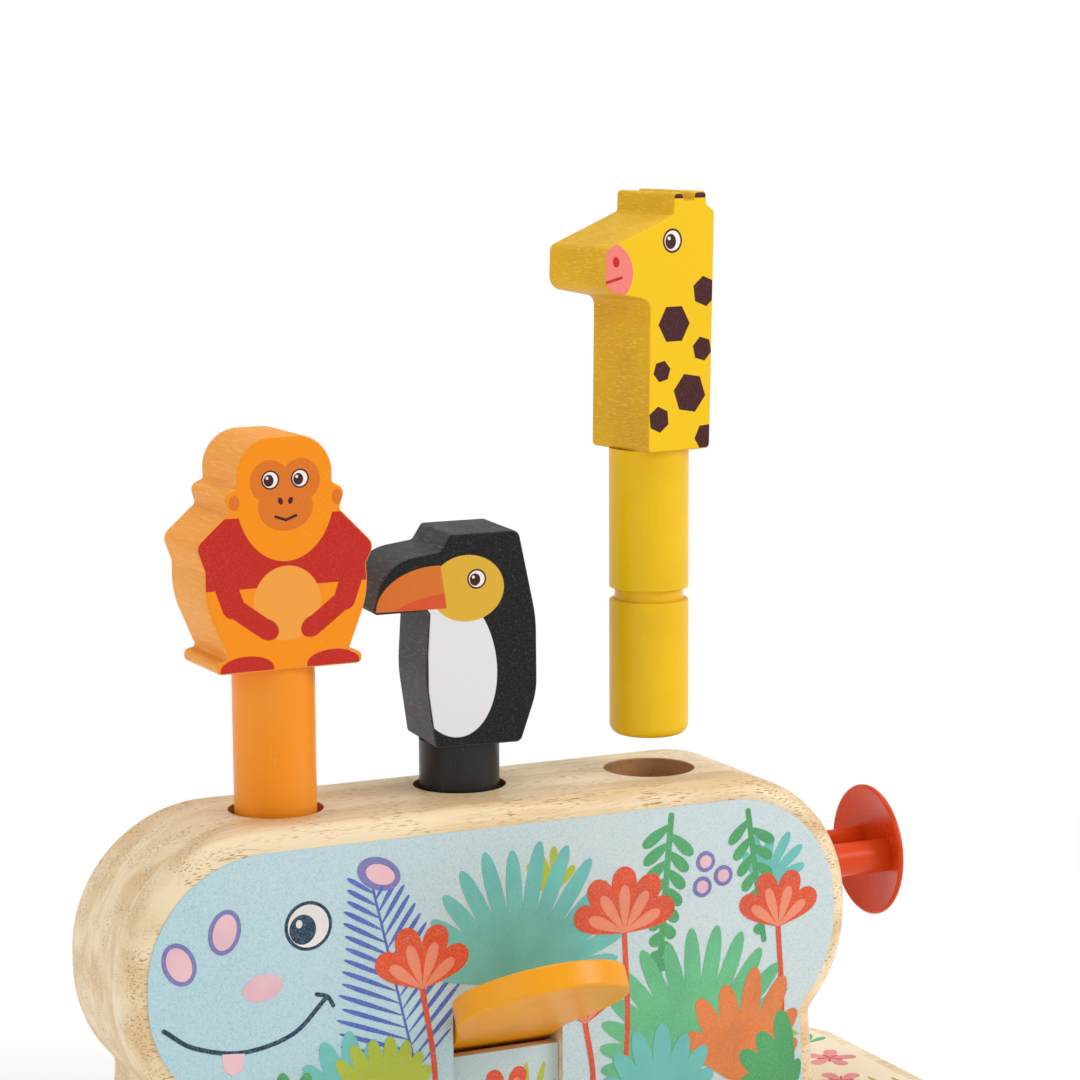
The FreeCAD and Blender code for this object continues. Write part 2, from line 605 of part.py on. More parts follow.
def knob_rod(y):
    """A rod from the crosshead, through the hippo's end and into the knob."""
    length = BODY_END + KNOB_STAND_OFF + KNOB_DISH + KNOB_RIM - CROSSHEAD_RIGHT
    return cylinder(ROD_RADIUS, length, Vector(CROSSHEAD_RIGHT, y, KNOB_Z), Vector(1, 0, 0))


def knob_crosshead():
    """The plate that ties the rods inside the hippo, with two cones that spread the clip."""
    plate = box(
        (CROSSHEAD_LEFT, -CROSSHEAD_HALF_WIDTH, KNOB_Z - CROSSHEAD_HALF_HEIGHT),
        (CROSSHEAD_RIGHT, CROSSHEAD_HALF_WIDTH, KNOB_Z + CROSSHEAD_HALF_HEIGHT),
    )
    for y in (-ROD_SPREAD, ROD_SPREAD):
        place = Vector(CROSSHEAD_LEFT, y, KNOB_Z)
        cone = Part.makeCone(CONE_RADIUS, CONE_TIP_RADIUS, CONE_LENGTH, place, Vector(-1, 0, 0))
        plate = plate.fuse(cone)
    return plate.removeSplitter()


def knob_spring():
    """The outer shape of the knob's return spring, between the pocket's wall and crosshead."""
    length = CROSSHEAD_LEFT - POCKET_LEFT
    place = Vector(POCKET_LEFT, 0, KNOB_Z)
    outside = cylinder(KNOB_SPRING_RADIUS, length, place, Vector(1, 0, 0))
    return outside.cut(cylinder(KNOB_SPRING_BORE, length, place, Vector(1, 0, 0)))


def latch_clip():
    """A spring wire bent like a hairpin round the giraffe's bore, which grips the groove."""
    bend = Part.Arc(
        Vector(CLIP_BEND_X, -CLIP_LEG_Y, KNOB_Z),
        Vector(CLIP_BEND_X - CLIP_LEG_Y, 0, KNOB_Z),
        Vector(CLIP_BEND_X, CLIP_LEG_Y, KNOB_Z),
    )
    front_end = Vector(CLIP_LEG_END_X, -CLIP_LEG_Y, KNOB_Z)
    back_end = Vector(CLIP_LEG_END_X, CLIP_LEG_Y, KNOB_Z)
    front = Part.LineSegment(front_end, bend.StartPoint)
    back = Part.LineSegment(bend.EndPoint, back_end)
    spine = Part.Wire([front.toShape(), bend.toShape(), back.toShape()])
    circle = Part.Circle(front_end, Vector(1, 0, 0), CLIP_WIRE_RADIUS).toShape()
    return spine.makePipeShell([Part.Wire([circle])], True, True)


def latch_cover():
    """The thin board that closes the latch's pocket, flush in the hippo's back."""
    cover = latch_cover_plate(SEAT_GAP / 2)
    for place in latch_screw_places():
        cover = cover.cut(screw_hole(
            SMALL_SCREW_RADIUS, SMALL_SCREW_HEAD_RADIUS, SMALL_SCREW_LENGTH, place, Vector(0, -1, 0)
        ))
    return cover


def make_hippo():
    """Write the board, the hippo block and what is fixed to them."""
    save("base_board", base_board())
    save("base_picture_sheet", base_picture_sheet())
    save("hippo_body", hippo_body())
    save("front_picture_sheet", front_picture_sheet())
    save("slot_cover", slot_cover())
    save("slot_cover_sheet", slot_cover_sheet())
    pin = Vector(-PIVOT_LENGTH / 2 + SEAT_GAP, PIVOT_Y, PIVOT_HEIGHT)
    save("lever_pivot_pin", cylinder(PIVOT_RADIUS, PIVOT_LENGTH - 2 * SEAT_GAP, pin, Vector(1, 0, 0)))
    screws = [
        screw(SCREW_RADIUS, SCREW_HEAD_RADIUS, SCREW_LENGTH, place, Vector(0, 0, 1))
        for place in base_screw_places()
    ]
    save("base_screws", Part.makeCompound(screws))
    save("latch_cover", latch_cover())
    small = [
        screw(SMALL_SCREW_RADIUS, SMALL_SCREW_HEAD_RADIUS, SMALL_SCREW_LENGTH, place, Vector(0, -1, 0))
        for place in latch_screw_places()
    ]
    save("latch_cover_screws", Part.makeCompound(small))


def make_lever():
    """Write the lever that lifts the toucan."""
    save("lever_paddle", lever_paddle())
    save("toucan_lifter", lifter())


def make_knob():
    """Write the push knob, its latch and its spring."""
    save("knob_disc", knob_disc())
    save("knob_front_rod", knob_rod(-ROD_SPREAD))
    save("knob_rear_rod", knob_rod(ROD_SPREAD))
    save("knob_crosshead", knob_crosshead())
    save("knob_spring", knob_spring())
    save("latch_clip", latch_clip())


def make_figures():
    """Write each figure with its peg, pad, plunger and spring."""
    for name, x in (("monkey", X_MONKEY), ("giraffe", X_GIRAFFE)):
        save(name + "_plunger", plunger(x))
        save(name + "_spring", plunger_spring(x))
        save(name + "_pad", pad(x, 0, PAD_TOP))
    save("toucan_pad", pad(0, TOUCAN_BORE_Y, TOUCAN_PEG_BOTTOM))
    bottom = BODY_TOP + MONKEY_HEIGHT
    save("monkey_block", figure_block(MONKEY_OUTLINE, X_MONKEY, 0, bottom, MONKEY_TURN))
    save("monkey_peg", peg(X_MONKEY, 0, MONKEY_PEG_BOTTOM, MONKEY_PEG))
    bottom = BODY_TOP + TOUCAN_HEIGHT
    save("toucan_block", figure_block(TOUCAN_OUTLINE, 0, TOUCAN_BORE_Y, bottom, TOUCAN_TURN))
    save("toucan_peg", peg(0, TOUCAN_BORE_Y, TOUCAN_PEG_BOTTOM, TOUCAN_PEG))
    bottom = BODY_TOP + GIRAFFE_HEIGHT
    save("giraffe_block", figure_block(GIRAFFE_OUTLINE, X_GIRAFFE, 0, bottom, GIRAFFE_TURN))
    save("giraffe_peg", giraffe_peg())


os.makedirs("parts", exist_ok=True)
make_hippo()
make_lever()
make_knob()
make_figures()
print("monkey and giraffe travel", round(MONKEY_HEIGHT - PRESSED_GAP, 2))
print("giraffe drop to its pad", round(GIRAFFE_PEG_BOTTOM - PAD_TOP, 2))
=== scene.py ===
"""Looks of the pop up animal toy: varnished wood, painted figures and a printed jungle front.

Metres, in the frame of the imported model: X runs along the hippo, Y to the back and Z up. Sizes of
patterns and prints are written in millimetres and turned into metres where they are used.
"""
import logging
import math
from collections import Counter
from dataclasses import dataclass, field
from enum import Enum
from typing import Any, Sequence, Union

import bmesh
import bpy
import numpy as np
from mathutils import Matrix, Vector


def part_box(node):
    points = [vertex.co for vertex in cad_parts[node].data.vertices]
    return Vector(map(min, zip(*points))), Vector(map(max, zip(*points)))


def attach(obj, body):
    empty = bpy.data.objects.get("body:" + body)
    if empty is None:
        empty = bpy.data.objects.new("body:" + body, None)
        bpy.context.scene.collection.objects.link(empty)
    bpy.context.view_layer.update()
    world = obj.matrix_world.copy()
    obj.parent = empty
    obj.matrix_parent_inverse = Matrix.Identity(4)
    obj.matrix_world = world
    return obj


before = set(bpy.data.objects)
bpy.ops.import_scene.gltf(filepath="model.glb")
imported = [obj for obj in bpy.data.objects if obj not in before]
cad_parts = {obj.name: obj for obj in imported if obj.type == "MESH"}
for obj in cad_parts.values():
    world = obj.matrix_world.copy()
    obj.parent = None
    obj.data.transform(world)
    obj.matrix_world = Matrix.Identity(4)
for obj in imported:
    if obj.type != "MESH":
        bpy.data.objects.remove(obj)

LOG = logging.getLogger("pop_up_toy")
MM = 0.001
SHEET_SINK = 0.02
INK_THICKNESS = 0.05
LAYER_STEP = 0.035
BLADE_STEP = 0.0012
MOTIF_STEP = 0.0003
WELD = 0.0002
PRINT_MARGIN = 0.35
CURVE_STEPS = 10
OVAL_CORNERS = 40
BLADE_CORNERS = 22
FACING = 0.9
COAT_ROUGHNESS = 0.22
SHORTER = (1.0, 0.93, 0.86, 0.79, 0.72, 0.65, 0.58, 0.5, 0.42)

Number = Union["Value", float]
Point = tuple[float, float]
Colour = tuple[float, float, float, float]


def colour(text: str) -> Colour:
    """Turn a six-digit display colour into a linear one.

    Args:
        text: Red, green and blue as two hexadecimal digits each.

    Returns:
        The linear colour with full alpha.
    """
    parts = [int(text[i:i + 2], 16) / 255 for i in (0, 2, 4)]
    linear = [p / 12.92 if p <= 0.04045 else ((p + 0.055) / 1.055) ** 2.4 for p in parts]
    return (linear[0], linear[1], linear[2], 1.0)


class Paint(Enum):
    """Paint colours of the wooden pieces."""

    ORANGE = "F58F08"
    ORANGE_SIDE = "F0A040"
    RUST = "C0281C"
    FACE = "DB7420"
    YELLOW = "F0C20A"
    YELLOW_SIDE = "D9A41E"
    BROWN = "451D20"
    PINK = "EE8078"
    BLACK = "1B1B1D"
    CHARCOAL = "3E3E40"
    BEAK = "D9742C"
    BEAK_RED = "D8552B"
    CHEEK = "DDAE36"
    BREAST = "E4E4E6"
    KNOB_RED = "E04A10"
    KNOB_SHADE = "B8340A"
    AMBER = "F3A217"
    AMBER_SIDE = "D98C14"
    LINEN = "F6ECE6"


class Ink(Enum):
    """Ink colours of the printed sheets."""

    SKY = "B4D3DB"
    TEAL = "6FC3BB"
    GREEN = "68BE84"
    LEAF = "52A765"
    LIME = "B4C22E"
    VERMILION = "E2501F"
    SALMON = "EE8D6A"
    ORANGE = "E67F38"
    VIOLET = "5468BC"
    LILAC = "7F78B4"
    ROSE = "EFC0C8"
    NAVY = "1C3850"
    CREAM = "F4ECE6"
    PETAL = "F0959A"
    STAMEN = "D8394C"


class Value:
    """A number socket that builds Math nodes when it is used in an expression."""

    def __init__(self, graph: "Graph", socket: bpy.types.NodeSocket) -> None:
        """Wrap a socket of a graph."""
        self.graph = graph
        self.socket = socket

    def math(self, operation: str, first: Number, second: Number = 0.0) -> "Value":
        """Join two numbers by one Math node."""
        made = self.graph.node("ShaderNodeMath", {"operation": operation}, {0: first, 1: second})
        return Value(self.graph, made.outputs[0])

    def __add__(self, other: Number) -> "Value":
        """The sum."""
        return self.math("ADD", self, other)

    def __radd__(self, other: float) -> "Value":
        """The sum with the number on the left."""
        return self.math("ADD", other, self)

    def __sub__(self, other: Number) -> "Value":
        """The difference."""
        return self.math("SUBTRACT", self, other)

    def __rsub__(self, other: float) -> "Value":
        """The difference from a number on the left."""
        return self.math("SUBTRACT", other, self)

    def __mul__(self, other: Number) -> "Value":
        """The product."""
        return self.math("MULTIPLY", self, other)

    def __rmul__(self, other: float) -> "Value":
        """The product with the number on the left."""
        return self.math("MULTIPLY", other, self)

    def __truediv__(self, other: Number) -> "Value":
        """The quotient."""
        return self.math("DIVIDE", self, other)

    def __abs__(self) -> "Value":
        """The size without its sign."""
        return self.math("ABSOLUTE", self)

    def root(self) -> "Value":
        """The square root."""
        return self.math("SQRT", self)

    def floor(self) -> "Value":
        """The whole number below."""
        return self.math("FLOOR", self)

    def least(self, other: Number) -> "Value":
        """The lesser of two numbers."""
        return self.math("MINIMUM", self, other)

    def most(self, other: Number) -> "Value":
        """The greater of two numbers."""
        return self.math("MAXIMUM", self, other)

    def rise(self, low: float, high: float) -> "Value":
        """A smooth step from 0 at the low number to 1 at the high one."""
        made = self.graph.node(
            "ShaderNodeMapRange",
            {"interpolation_type": "SMOOTHSTEP"},
            {0: self, 1: low, 2: high, 3: 0.0, 4: 1.0},
        )
        return Value(self.graph, made.outputs[0])


class Graph:
    """A node tree with short ways to add nodes, numbers and colours."""

    def __init__(self, tree: bpy.types.NodeTree) -> None:
        """Wrap a node tree."""
        self.tree = tree

    def node(
        self, kind: str, settings: dict[str, Any] | None = None, inputs: dict[Any, Any] | None = None
    ) -> bpy.types.Node:
        """Add one node.

        Args:
            kind: The node's type.
            settings: Its settings, which are set first.
            inputs: Socket name or number, and the value or link for it.

        Returns:
            The new node.
        """
        made = self.tree.nodes.new(kind)
        for name, value in (settings or {}).items():
            setattr(made, name, value)
        for key, value in (inputs or {}).items():
            self.feed(made.inputs[key], value)
        return made

    def feed(self, socket: bpy.types.NodeSocket, value: Any) -> None:
        """Give a socket a link or a constant.

        Args:
            socket: The socket to set.
            value: A wrapped number, another socket or a constant.
        """
        if isinstance(value, Value):
            value = value.socket
        if isinstance(value, bpy.types.NodeSocket):
            self.tree.links.new(value, socket)
        else:
            socket.default_value = value

    def mix(self, factor: Number, first: Any, second: Any, blend: str = "MIX") -> Any:
        """Blend two colours and return the result's socket.

        Args:
            factor: The share of the second colour.
            first: The colour below.
            second: The colour on top.
            blend: The blend's kind.

        Returns:
            The mixed colour's socket.
        """
        settings = {"data_type": "RGBA", "blend_type": blend}
        made = self.node("ShaderNodeMix", settings, {0: factor, 6: first, 7: second})
        return made.outputs[2]


class Surface(Graph):
    """A material's tree with its Principled shader, its coordinates and its textures."""

    def __init__(self, name: str) -> None:
        """Make a material and clear its tree."""
        self.material = bpy.data.materials.new(name)
        self.material.use_nodes = True
        super().__init__(self.material.node_tree)
        self.tree.nodes.clear()
        self.shader = self.node("ShaderNodeBsdfPrincipled")
        output = self.node("ShaderNodeOutputMaterial")
        self.tree.links.new(self.shader.outputs[0], output.inputs[0])
        self.places = self.node("ShaderNodeTexCoord")

    def axes(self, source: str = "Object") -> tuple[Value, Value, Value]:
        """The three parts of the object-space place in millimetres, or of the plain normal.

        Args:
            source: The output of the coordinates to take.

        Returns:
            Three numbers.
        """
        scale = 1.0 if source == "Normal" else 1.0 / MM
        made = self.node("ShaderNodeSeparateXYZ", {}, {0: self.places.outputs[source]})
        return tuple(Value(self, made.outputs[i]) * scale for i in range(3))

    def stretched(self, scale: Sequence[float], turn: float = 0.0) -> Any:
        """Object coordinates in cycles per metre along each axis, after a turn about Z.

        Args:
            scale: Cycles per metre along X, Y and Z.
            turn: The turn in radians.

        Returns:
            The coordinates' socket.
        """
        made = self.node("ShaderNodeMapping", {}, {0: self.places.outputs["Object"]})
        made.inputs["Rotation"].default_value = (0.0, 0.0, turn)
        made.inputs["Scale"].default_value = tuple(scale)
        return made.outputs[0]

    def noise(self, place: Any, detail: float = 2.0, rough: float = 0.5, bend: float = 0.0) -> Value:
        """A noise between about 0.25 and 0.75 at a place.

        Args:
            place: The coordinates.
            detail: How many finer layers lie on the first.
            rough: How strong the finer layers are.
            bend: How far the pattern is distorted.

        Returns:
            The noise.
        """
        inputs = {"Vector": place, "Scale": 1.0, "Detail": detail, "Roughness": rough}
        inputs["Distortion"] = bend
        return Value(self, self.node("ShaderNodeTexNoise", {}, inputs).outputs[0])

    def finish(self, tint: Any, rough: Any, height: Number, depth: float, gloss: float = 0.5,
               coat: float = 0.0) -> None:
        """Feed the shader: its colour, its roughness, and a bump of a depth in millimetres.

        Args:
            tint: The base colour.
            rough: The roughness.
            height: The height that the bump follows.
            depth: The bump's depth in millimetres.
            gloss: The shader's specular level.
            coat: The clear coat's weight.
        """
        bump = self.node("ShaderNodeBump", {}, {"Height": height})
        bump.inputs["Distance"].default_value = depth * MM
        self.feed(self.shader.inputs["Base Color"], tint)
        self.feed(self.shader.inputs["Roughness"], rough)
        self.feed(self.shader.inputs["Normal"], bump.outputs[0])
        self.shader.inputs["Specular IOR Level"].default_value = gloss
        self.shader.inputs["Coat Weight"].default_value = coat
        self.shader.inputs["Coat Roughness"].default_value = COAT_ROUGHNESS


@dataclass(frozen=True)
class Chart:
    """The flat coordinates of a figure's printed face, in millimetres, with printed shapes."""

    across: Value
    up: Value
    soft: float = 0.09

    def _turned(self, x: float, y: float, lean: float) -> tuple[Value, Value]:
        """The place from a centre, along and across a lean in degrees.

        Args:
            x: The centre's place across.
            y: The centre's place up.
            lean: The lean in degrees.

        Returns:
            The place along and across the lean.
        """
        c, s = math.cos(math.radians(lean)), math.sin(math.radians(lean))
        dx, dy = self.across - x, self.up - y
        return dx * c + dy * s, dy * c - dx * s

    def ellipse(self, x: float, y: float, half: float, tall: float, lean: float = 0.0) -> Value:
        """A mask that is 1 in an ellipse.

        Args:
            x: The centre's place across.
            y: The centre's place up.
            half: Half its width.
            tall: Half its height.
            lean: Its lean in degrees.

        Returns:
            The mask.
        """
        u, v = self._turned(x, y, lean)
        u, v = u / half, v / tall
        away = ((u * u + v * v).root() - 1.0) * min(half, tall)
        return 1.0 - away.rise(-self.soft, self.soft)

    def stroke(self, start: Point, stop: Point, half: float) -> Value:
        """A mask that is 1 in a straight stroke with round ends.

        Args:
            start: Its first end.
            stop: Its other end.
            half: Half its width.

        Returns:
            The mask.
        """
        run = Vector(stop) - Vector(start)
        px, py = self.across - start[0], self.up - start[1]
        along = ((px * run.x + py * run.y) / run.length_squared).most(0.0).least(1.0)
        dx, dy = px - along * run.x, py - along * run.y
        away = (dx * dx + dy * dy).root() - half
        return 1.0 - away.rise(-self.soft, self.soft)

    def beyond(self, x: float, y: float, lean: float) -> Value:
        """A mask that is 1 on the far side of a line through a point, in a direction in degrees."""
        u, _ = self._turned(x, y, lean)
        return u.rise(-self.soft, self.soft)

    def hexagon(self, x: float, y: float, radius: float, lean: float) -> Value:
        """A mask that is 1 in a six-sided spot.

        Args:
            x: The centre's place across.
            y: The centre's place up.
            radius: From the centre to a corner.
            lean: Its turn in degrees.

        Returns:
            The mask.
        """
        inside = None
        for k in range(3):
            u, _ = self._turned(x, y, lean + 60.0 * k)
            side = 1.0 - (abs(u) - radius * 0.87).rise(-self.soft, self.soft)
            inside = side if inside is None else inside.least(side)
        return inside


@dataclass(frozen=True)
class VarnishedWood:
    """Pale wood under satin varnish: growth streaks, fine fibres, pores and glued staves, with painted shade
    inside the bores.
    """

    name: str
    light: str = "F2DDB8"
    dark: str = "D9B57F"
    pore: str = "A97C4C"
    stave: float = 17.0
    pores: float = 1.0
    rough: float = 0.36
    stave_start: float = -30.0
    seam_half: float = 0.490
    bores: tuple[Point, ...] = ()
    bore_radius: float = 13.2
    # The colour of the painted shade inside the bores, over the bare wood there.
    bore_shade_tint: str = "B57336"
    rim: float = 0.0

    def build(self) -> bpy.types.Material:
        """Make the material, with the grain along X."""
        s = Surface(self.name)
        x, y, z = s.axes()
        stave = (y - self.stave_start) / self.stave
        board = stave.floor()
        shift = s.node("ShaderNodeCombineXYZ", {}, {0: board * 7.3, 1: board * 3.1, 2: board * 5.7})
        broad = s.node("ShaderNodeVectorMath", {"operation": "ADD"},
                       {0: s.stretched((9.0, 95.0, 70.0)), 1: shift.outputs[0]}).outputs[0]
        rings = s.noise(broad, 3.0, 0.55, 0.5)
        fibres = s.noise(s.stretched((70.0, 2300.0, 2300.0)), 3.0, 0.6)
        cloud = s.noise(s.stretched((26.0, 60.0, 60.0)), 2.0)
        dashes = s.noise(s.stretched((330.0, 2600.0, 2600.0)), 1.0)
        patches = s.noise(s.stretched((60.0, 150.0, 150.0)), 1.0)
        streak = (rings + (fibres - 0.5) * 0.35 + (cloud - 0.5) * 0.25).rise(0.36, 0.68)
        tone = s.mix(streak * 0.8, colour(self.light), colour(self.dark))
        pore = dashes.rise(0.57, 0.66) * patches.rise(0.36, 0.58) * self.pores
        tone = s.mix(pore * 0.62, tone, colour(self.pore))
        seam = abs(stave - board - 0.5).rise(self.seam_half, self.seam_half + 0.0075)
        tone = s.mix(seam * 0.35, tone, colour(self.pore))
        # Inside the bores, below the rim, the wood is painted darker and browner: painted shade in the
        # recess, over the bare wood there.
        for bore_x, bore_y in self.bores:
            dx, dy = x - bore_x / MM, y - bore_y / MM
            inside = 1.0 - ((dx * dx + dy * dy).root() - self.bore_radius).rise(-0.3, 0.1)
            inside = inside * (1.0 - z.rise(self.rim - 0.5, self.rim - 0.1))
            tone = s.mix(inside * 0.75, tone, colour(self.bore_shade_tint))
        height = fibres * 0.35 - pore * 0.9 - seam * 0.5
        rough = (fibres - 0.5) * 0.16 + self.rough + pore * 0.2
        s.finish(tone, rough, height, 0.05, gloss=0.3, coat=0.12)
        return s.material


@dataclass(frozen=True)
class BareWood:
    """Sanded wood without varnish, as inside the toy."""

    name: str
    light: str = "D9B98A"
    dark: str = "B88F5C"

    def build(self) -> bpy.types.Material:
        """Make the material, with fibres along Z."""
        s = Surface(self.name)
        fibres = s.noise(s.stretched((1500.0, 1500.0, 60.0)), 3.0, 0.6)
        broad = s.noise(s.stretched((120.0, 120.0, 12.0)), 2.0)
        tone = s.mix((fibres * 0.6 + broad * 0.5).rise(0.4, 0.7), colour(self.light), colour(self.dark))
        s.finish(tone, (fibres - 0.5) * 0.2 + 0.62, fibres, 0.06)
        return s.material


@dataclass(frozen=True)
class SatinPaint:
    """One paint colour over wood, with the grain showing softly and small marks on it."""

    name: str
    tint: Paint
    shade: Paint
    grain: tuple[float, float, float] = (2400.0, 90.0, 2400.0)
    rough: float = 0.34
    marks: float = 0.15
    gloss: float = 0.22
    coat: float = 0.05

    def build(self) -> bpy.types.Material:
        """Make the material."""
        s = Surface(self.name)
        fibres = s.noise(s.stretched(self.grain), 3.0, 0.6)
        grit = s.noise(s.stretched((2600.0, 2600.0, 2600.0)), 2.0)
        cloud = s.noise(s.stretched((45.0, 45.0, 45.0)), 2.0)
        tone = s.mix(cloud.rise(0.3, 0.75) * 0.45, colour(self.tint.value), colour(self.shade.value))
        tone = s.mix(fibres.rise(0.5, 0.72) * 0.22, tone, colour(self.shade.value))
        scuff = s.noise(s.stretched((420.0, 420.0, 160.0)), 4.0, 0.7).rise(0.66, 0.74) * self.marks
        tone = s.mix(scuff * 0.4, tone, colour(Paint.LINEN.value))
        rough = (grit - 0.5) * 0.18 + self.rough + scuff * 0.25
        s.finish(tone, rough, fibres * 0.7 + grit * 0.4, 0.05, gloss=self.gloss, coat=self.coat)
        return s.material


@dataclass(frozen=True)
class PrintedSheet:
    """The printed ground of a glued sheet: a soft colour drift with a fine dry speckle."""

    name: str
    warm: str
    cool: str
    along: float = 0.0055

    def build(self) -> bpy.types.Material:
        """Make the material, whose colour drifts along X."""
        s = Surface(self.name)
        x, _, z = s.axes()
        speckle = s.noise(s.stretched((2100.0, 2100.0, 2100.0)), 2.0, 0.7)
        blot = s.noise(s.stretched((28.0, 28.0, 28.0)), 3.0)
        drift = (x * self.along + (blot - 0.5) * 0.7 + (z - 50.0) * 0.003 + 0.5).rise(0.0, 1.0)
        tone = s.mix(drift, colour(self.cool), colour(self.warm))
        tone = s.mix(speckle.rise(0.35, 0.75) * 0.30, tone, colour(Paint.LINEN.value))
        tone = s.mix((1.0 - speckle.rise(0.28, 0.46)) * 0.16, tone, colour(Ink.NAVY.value))
        s.finish(tone, (speckle - 0.5) * 0.2 + 0.46, speckle, 0.02, gloss=0.25)
        return s.material


@dataclass(frozen=True)
class PrintInk:
    """One flat ink with the print's speckle and a slight drift of its density."""

    tint: Ink

    def build(self) -> bpy.types.Material:
        """Make the material."""
        s = Surface("ink_" + self.tint.name.lower())
        speckle = s.noise(s.stretched((2100.0, 2100.0, 2100.0)), 2.0, 0.7)
        blot = s.noise(s.stretched((70.0, 70.0, 70.0)), 2.0)
        tone = s.mix(speckle.rise(0.42, 0.78) * 0.26, colour(self.tint.value), colour(Ink.SKY.value))
        tone = s.mix(blot.rise(0.35, 0.7) * 0.14, tone, colour(Ink.NAVY.value))
        s.finish(tone, (speckle - 0.5) * 0.2 + 0.46, speckle, 0.02, gloss=0.25)
        return s.material


@dataclass(frozen=True)
class Felt:
    """Grey pressed felt with matted fibres."""

    name: str = "pressed_felt"

    def build(self) -> bpy.types.Material:
        """Make the material."""
        s = Surface(self.name)
        mat = s.noise(s.stretched((1700.0, 1700.0, 2600.0)), 5.0, 0.75, 1.5)
        tone = s.mix(mat.rise(0.3, 0.7), colour("4A4A4D"), colour("77777B"))
        s.finish(tone, 0.95, mat, 0.25)
        s.shader.inputs["Sheen Weight"].default_value = 0.4
        return s.material


@dataclass(frozen=True)
class Steel:
    """Plated steel with fine drawn lines."""

    name: str
    tint: str
    rough: float = 0.3

    def build(self) -> bpy.types.Material:
        """Make the material."""
        s = Surface(self.name)
        lines = s.noise(s.stretched((3200.0, 3200.0, 500.0)), 2.0)
        tone = s.mix(lines.rise(0.3, 0.7) * 0.5, colour(self.tint), colour("8C8C90"))
        s.finish(tone, (lines - 0.5) * 0.3 + self.rough, lines, 0.01)
        s.shader.inputs["Metallic"].default_value = 1.0
        return s.material


@dataclass(frozen=True)
class FigurePaint:
    """A figure's finish: smooth printed faces front and back, and grainy painted sides."""

    name: str
    face: Paint
    side: Paint
    glint: str
    centre: Vector
    turn: float
    grain: float = 0.5

    def build(self, prints: Sequence[Any]) -> bpy.types.Material:
        """Make the material.

        Args:
            prints: Functions of the chart, from the lowest shape to the topmost, each of which
                returns a mask and its paint.

        Returns:
            The material.
        """
        s = Surface(self.name)
        x, y, z = s.axes()
        nx, ny, _ = s.axes("Normal")
        turn = math.radians(self.turn)
        c, k = math.cos(turn), math.sin(turn)
        dx, dy = x - self.centre.x / MM, y - self.centre.y / MM
        across = dx * c + dy * k
        chart = Chart(across, z - self.centre.z / MM)
        facing = abs(ny * c - nx * k).rise(0.80, 0.93)
        ripple = s.noise(s.stretched((140.0, 2600.0, 2600.0), -turn), 2.0)
        streaks = s.noise(s.stretched((2300.0, 130.0, 2300.0), -turn), 3.0, 0.65)
        grit = s.noise(s.stretched((2700.0, 2700.0, 2700.0)), 2.0, 0.6)
        cloud = s.noise(s.stretched((60.0, 60.0, 60.0)), 2.0)
        side = s.mix(streaks.rise(0.50, 0.70) * self.grain, colour(self.side.value), colour(self.glint))
        side = s.mix(cloud.rise(0.35, 0.7) * 0.35, side, colour(self.face.value))
        front = colour(self.face.value)
        for shape in prints:
            mask, tint = shape(chart)
            front = s.mix(mask, front, colour(tint.value))
        front = s.mix(grit.rise(0.50, 0.75) * 0.05, front, colour(Paint.LINEN.value))
        tone = s.mix(facing, side, front)
        rough = 0.48 - facing * 0.08 + (grit - 0.5) * 0.2
        height = (1.0 - facing) * streaks * 1.5 + grit * 0.35 + ripple * 0.2
        s.finish(tone, rough, height, 0.09, gloss=0.16)
        return s.material


@dataclass(frozen=True)
class Sheet:
    """A flat printed place: its origin, its two directions and the way it faces."""

    origin: Vector
    across: Vector
    up: Vector
    out: Vector
    rim: Any = None

    def matrix(self, u: float, v: float, turn: float, height: float) -> Matrix:
        """Where a flat motif lies: its place, its turn in degrees and its height off the sheet.

        Args:
            u: The place across.
            v: The place up.
            turn: The turn in degrees.
            height: The height off the sheet.

        Returns:
            The matrix, in metres.
        """
        c, s = math.cos(math.radians(turn)), math.sin(math.radians(turn))
        x = self.across * c + self.up * s
        y = self.up * c - self.across * s
        place = self.origin + (self.across * u + self.up * v + self.out * height) * MM
        columns = Matrix((x, y, self.out)).transposed().to_4x4()
        return Matrix.Translation(place) @ columns

    def flat(self, point: Vector) -> Point:
        """A point of the frame as millimetres across and up the sheet."""
        away = (point - self.origin) / MM
        return (away.dot(self.across), away.dot(self.up))

    def with_rim(self, node: str) -> "Sheet":
        """The same sheet, held to the outline of a CAD node's face that looks the same way.

        Args:
            node: The CAD node's name.

        Returns:
            The sheet with its outline.
        """
        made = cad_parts[node]
        uses: Counter = Counter()
        for face in made.data.polygons:
            if face.normal.dot(self.out) > FACING:
                uses.update(face.edge_keys)
        spots = [self.flat(made.matrix_world @ vertex.co) for vertex in made.data.vertices]
        rim = [(spots[a], spots[b]) for (a, b), count in uses.items() if count == 1]
        return Sheet(self.origin, self.across, self.up, self.out, np.array(rim))

    def holds(self, points: Sequence[Point]) -> bool:
        """Whether all points lie on the sheet, clear of its outline and of its openings.

        Args:
            points: Places in millimetres across and up.

        Returns:
            True if every point is well inside.
        """
        spots = np.array(points)[:, None, :]
        start, stop = self.rim[None, :, 0], self.rim[None, :, 1]
        along = stop - start
        passes = (start[..., 1] > spots[..., 1]) != (stop[..., 1] > spots[..., 1])
        slope = np.where(passes, along[..., 1], 1.0)
        reach = start[..., 0] + (spots[..., 1] - start[..., 1]) * along[..., 0] / slope
        inside = (passes & (spots[..., 0] < reach)).sum(axis=1) % 2 == 1
        share = ((spots - start) * along).sum(axis=2) / np.maximum((along ** 2).sum(axis=2), 1e-9)
        near = start + along * np.clip(share, 0.0, 1.0)[..., None]
        gap = np.sqrt(((spots - near) ** 2).sum(axis=2))
        return bool(inside.all() and gap.min() >= PRINT_MARGIN)


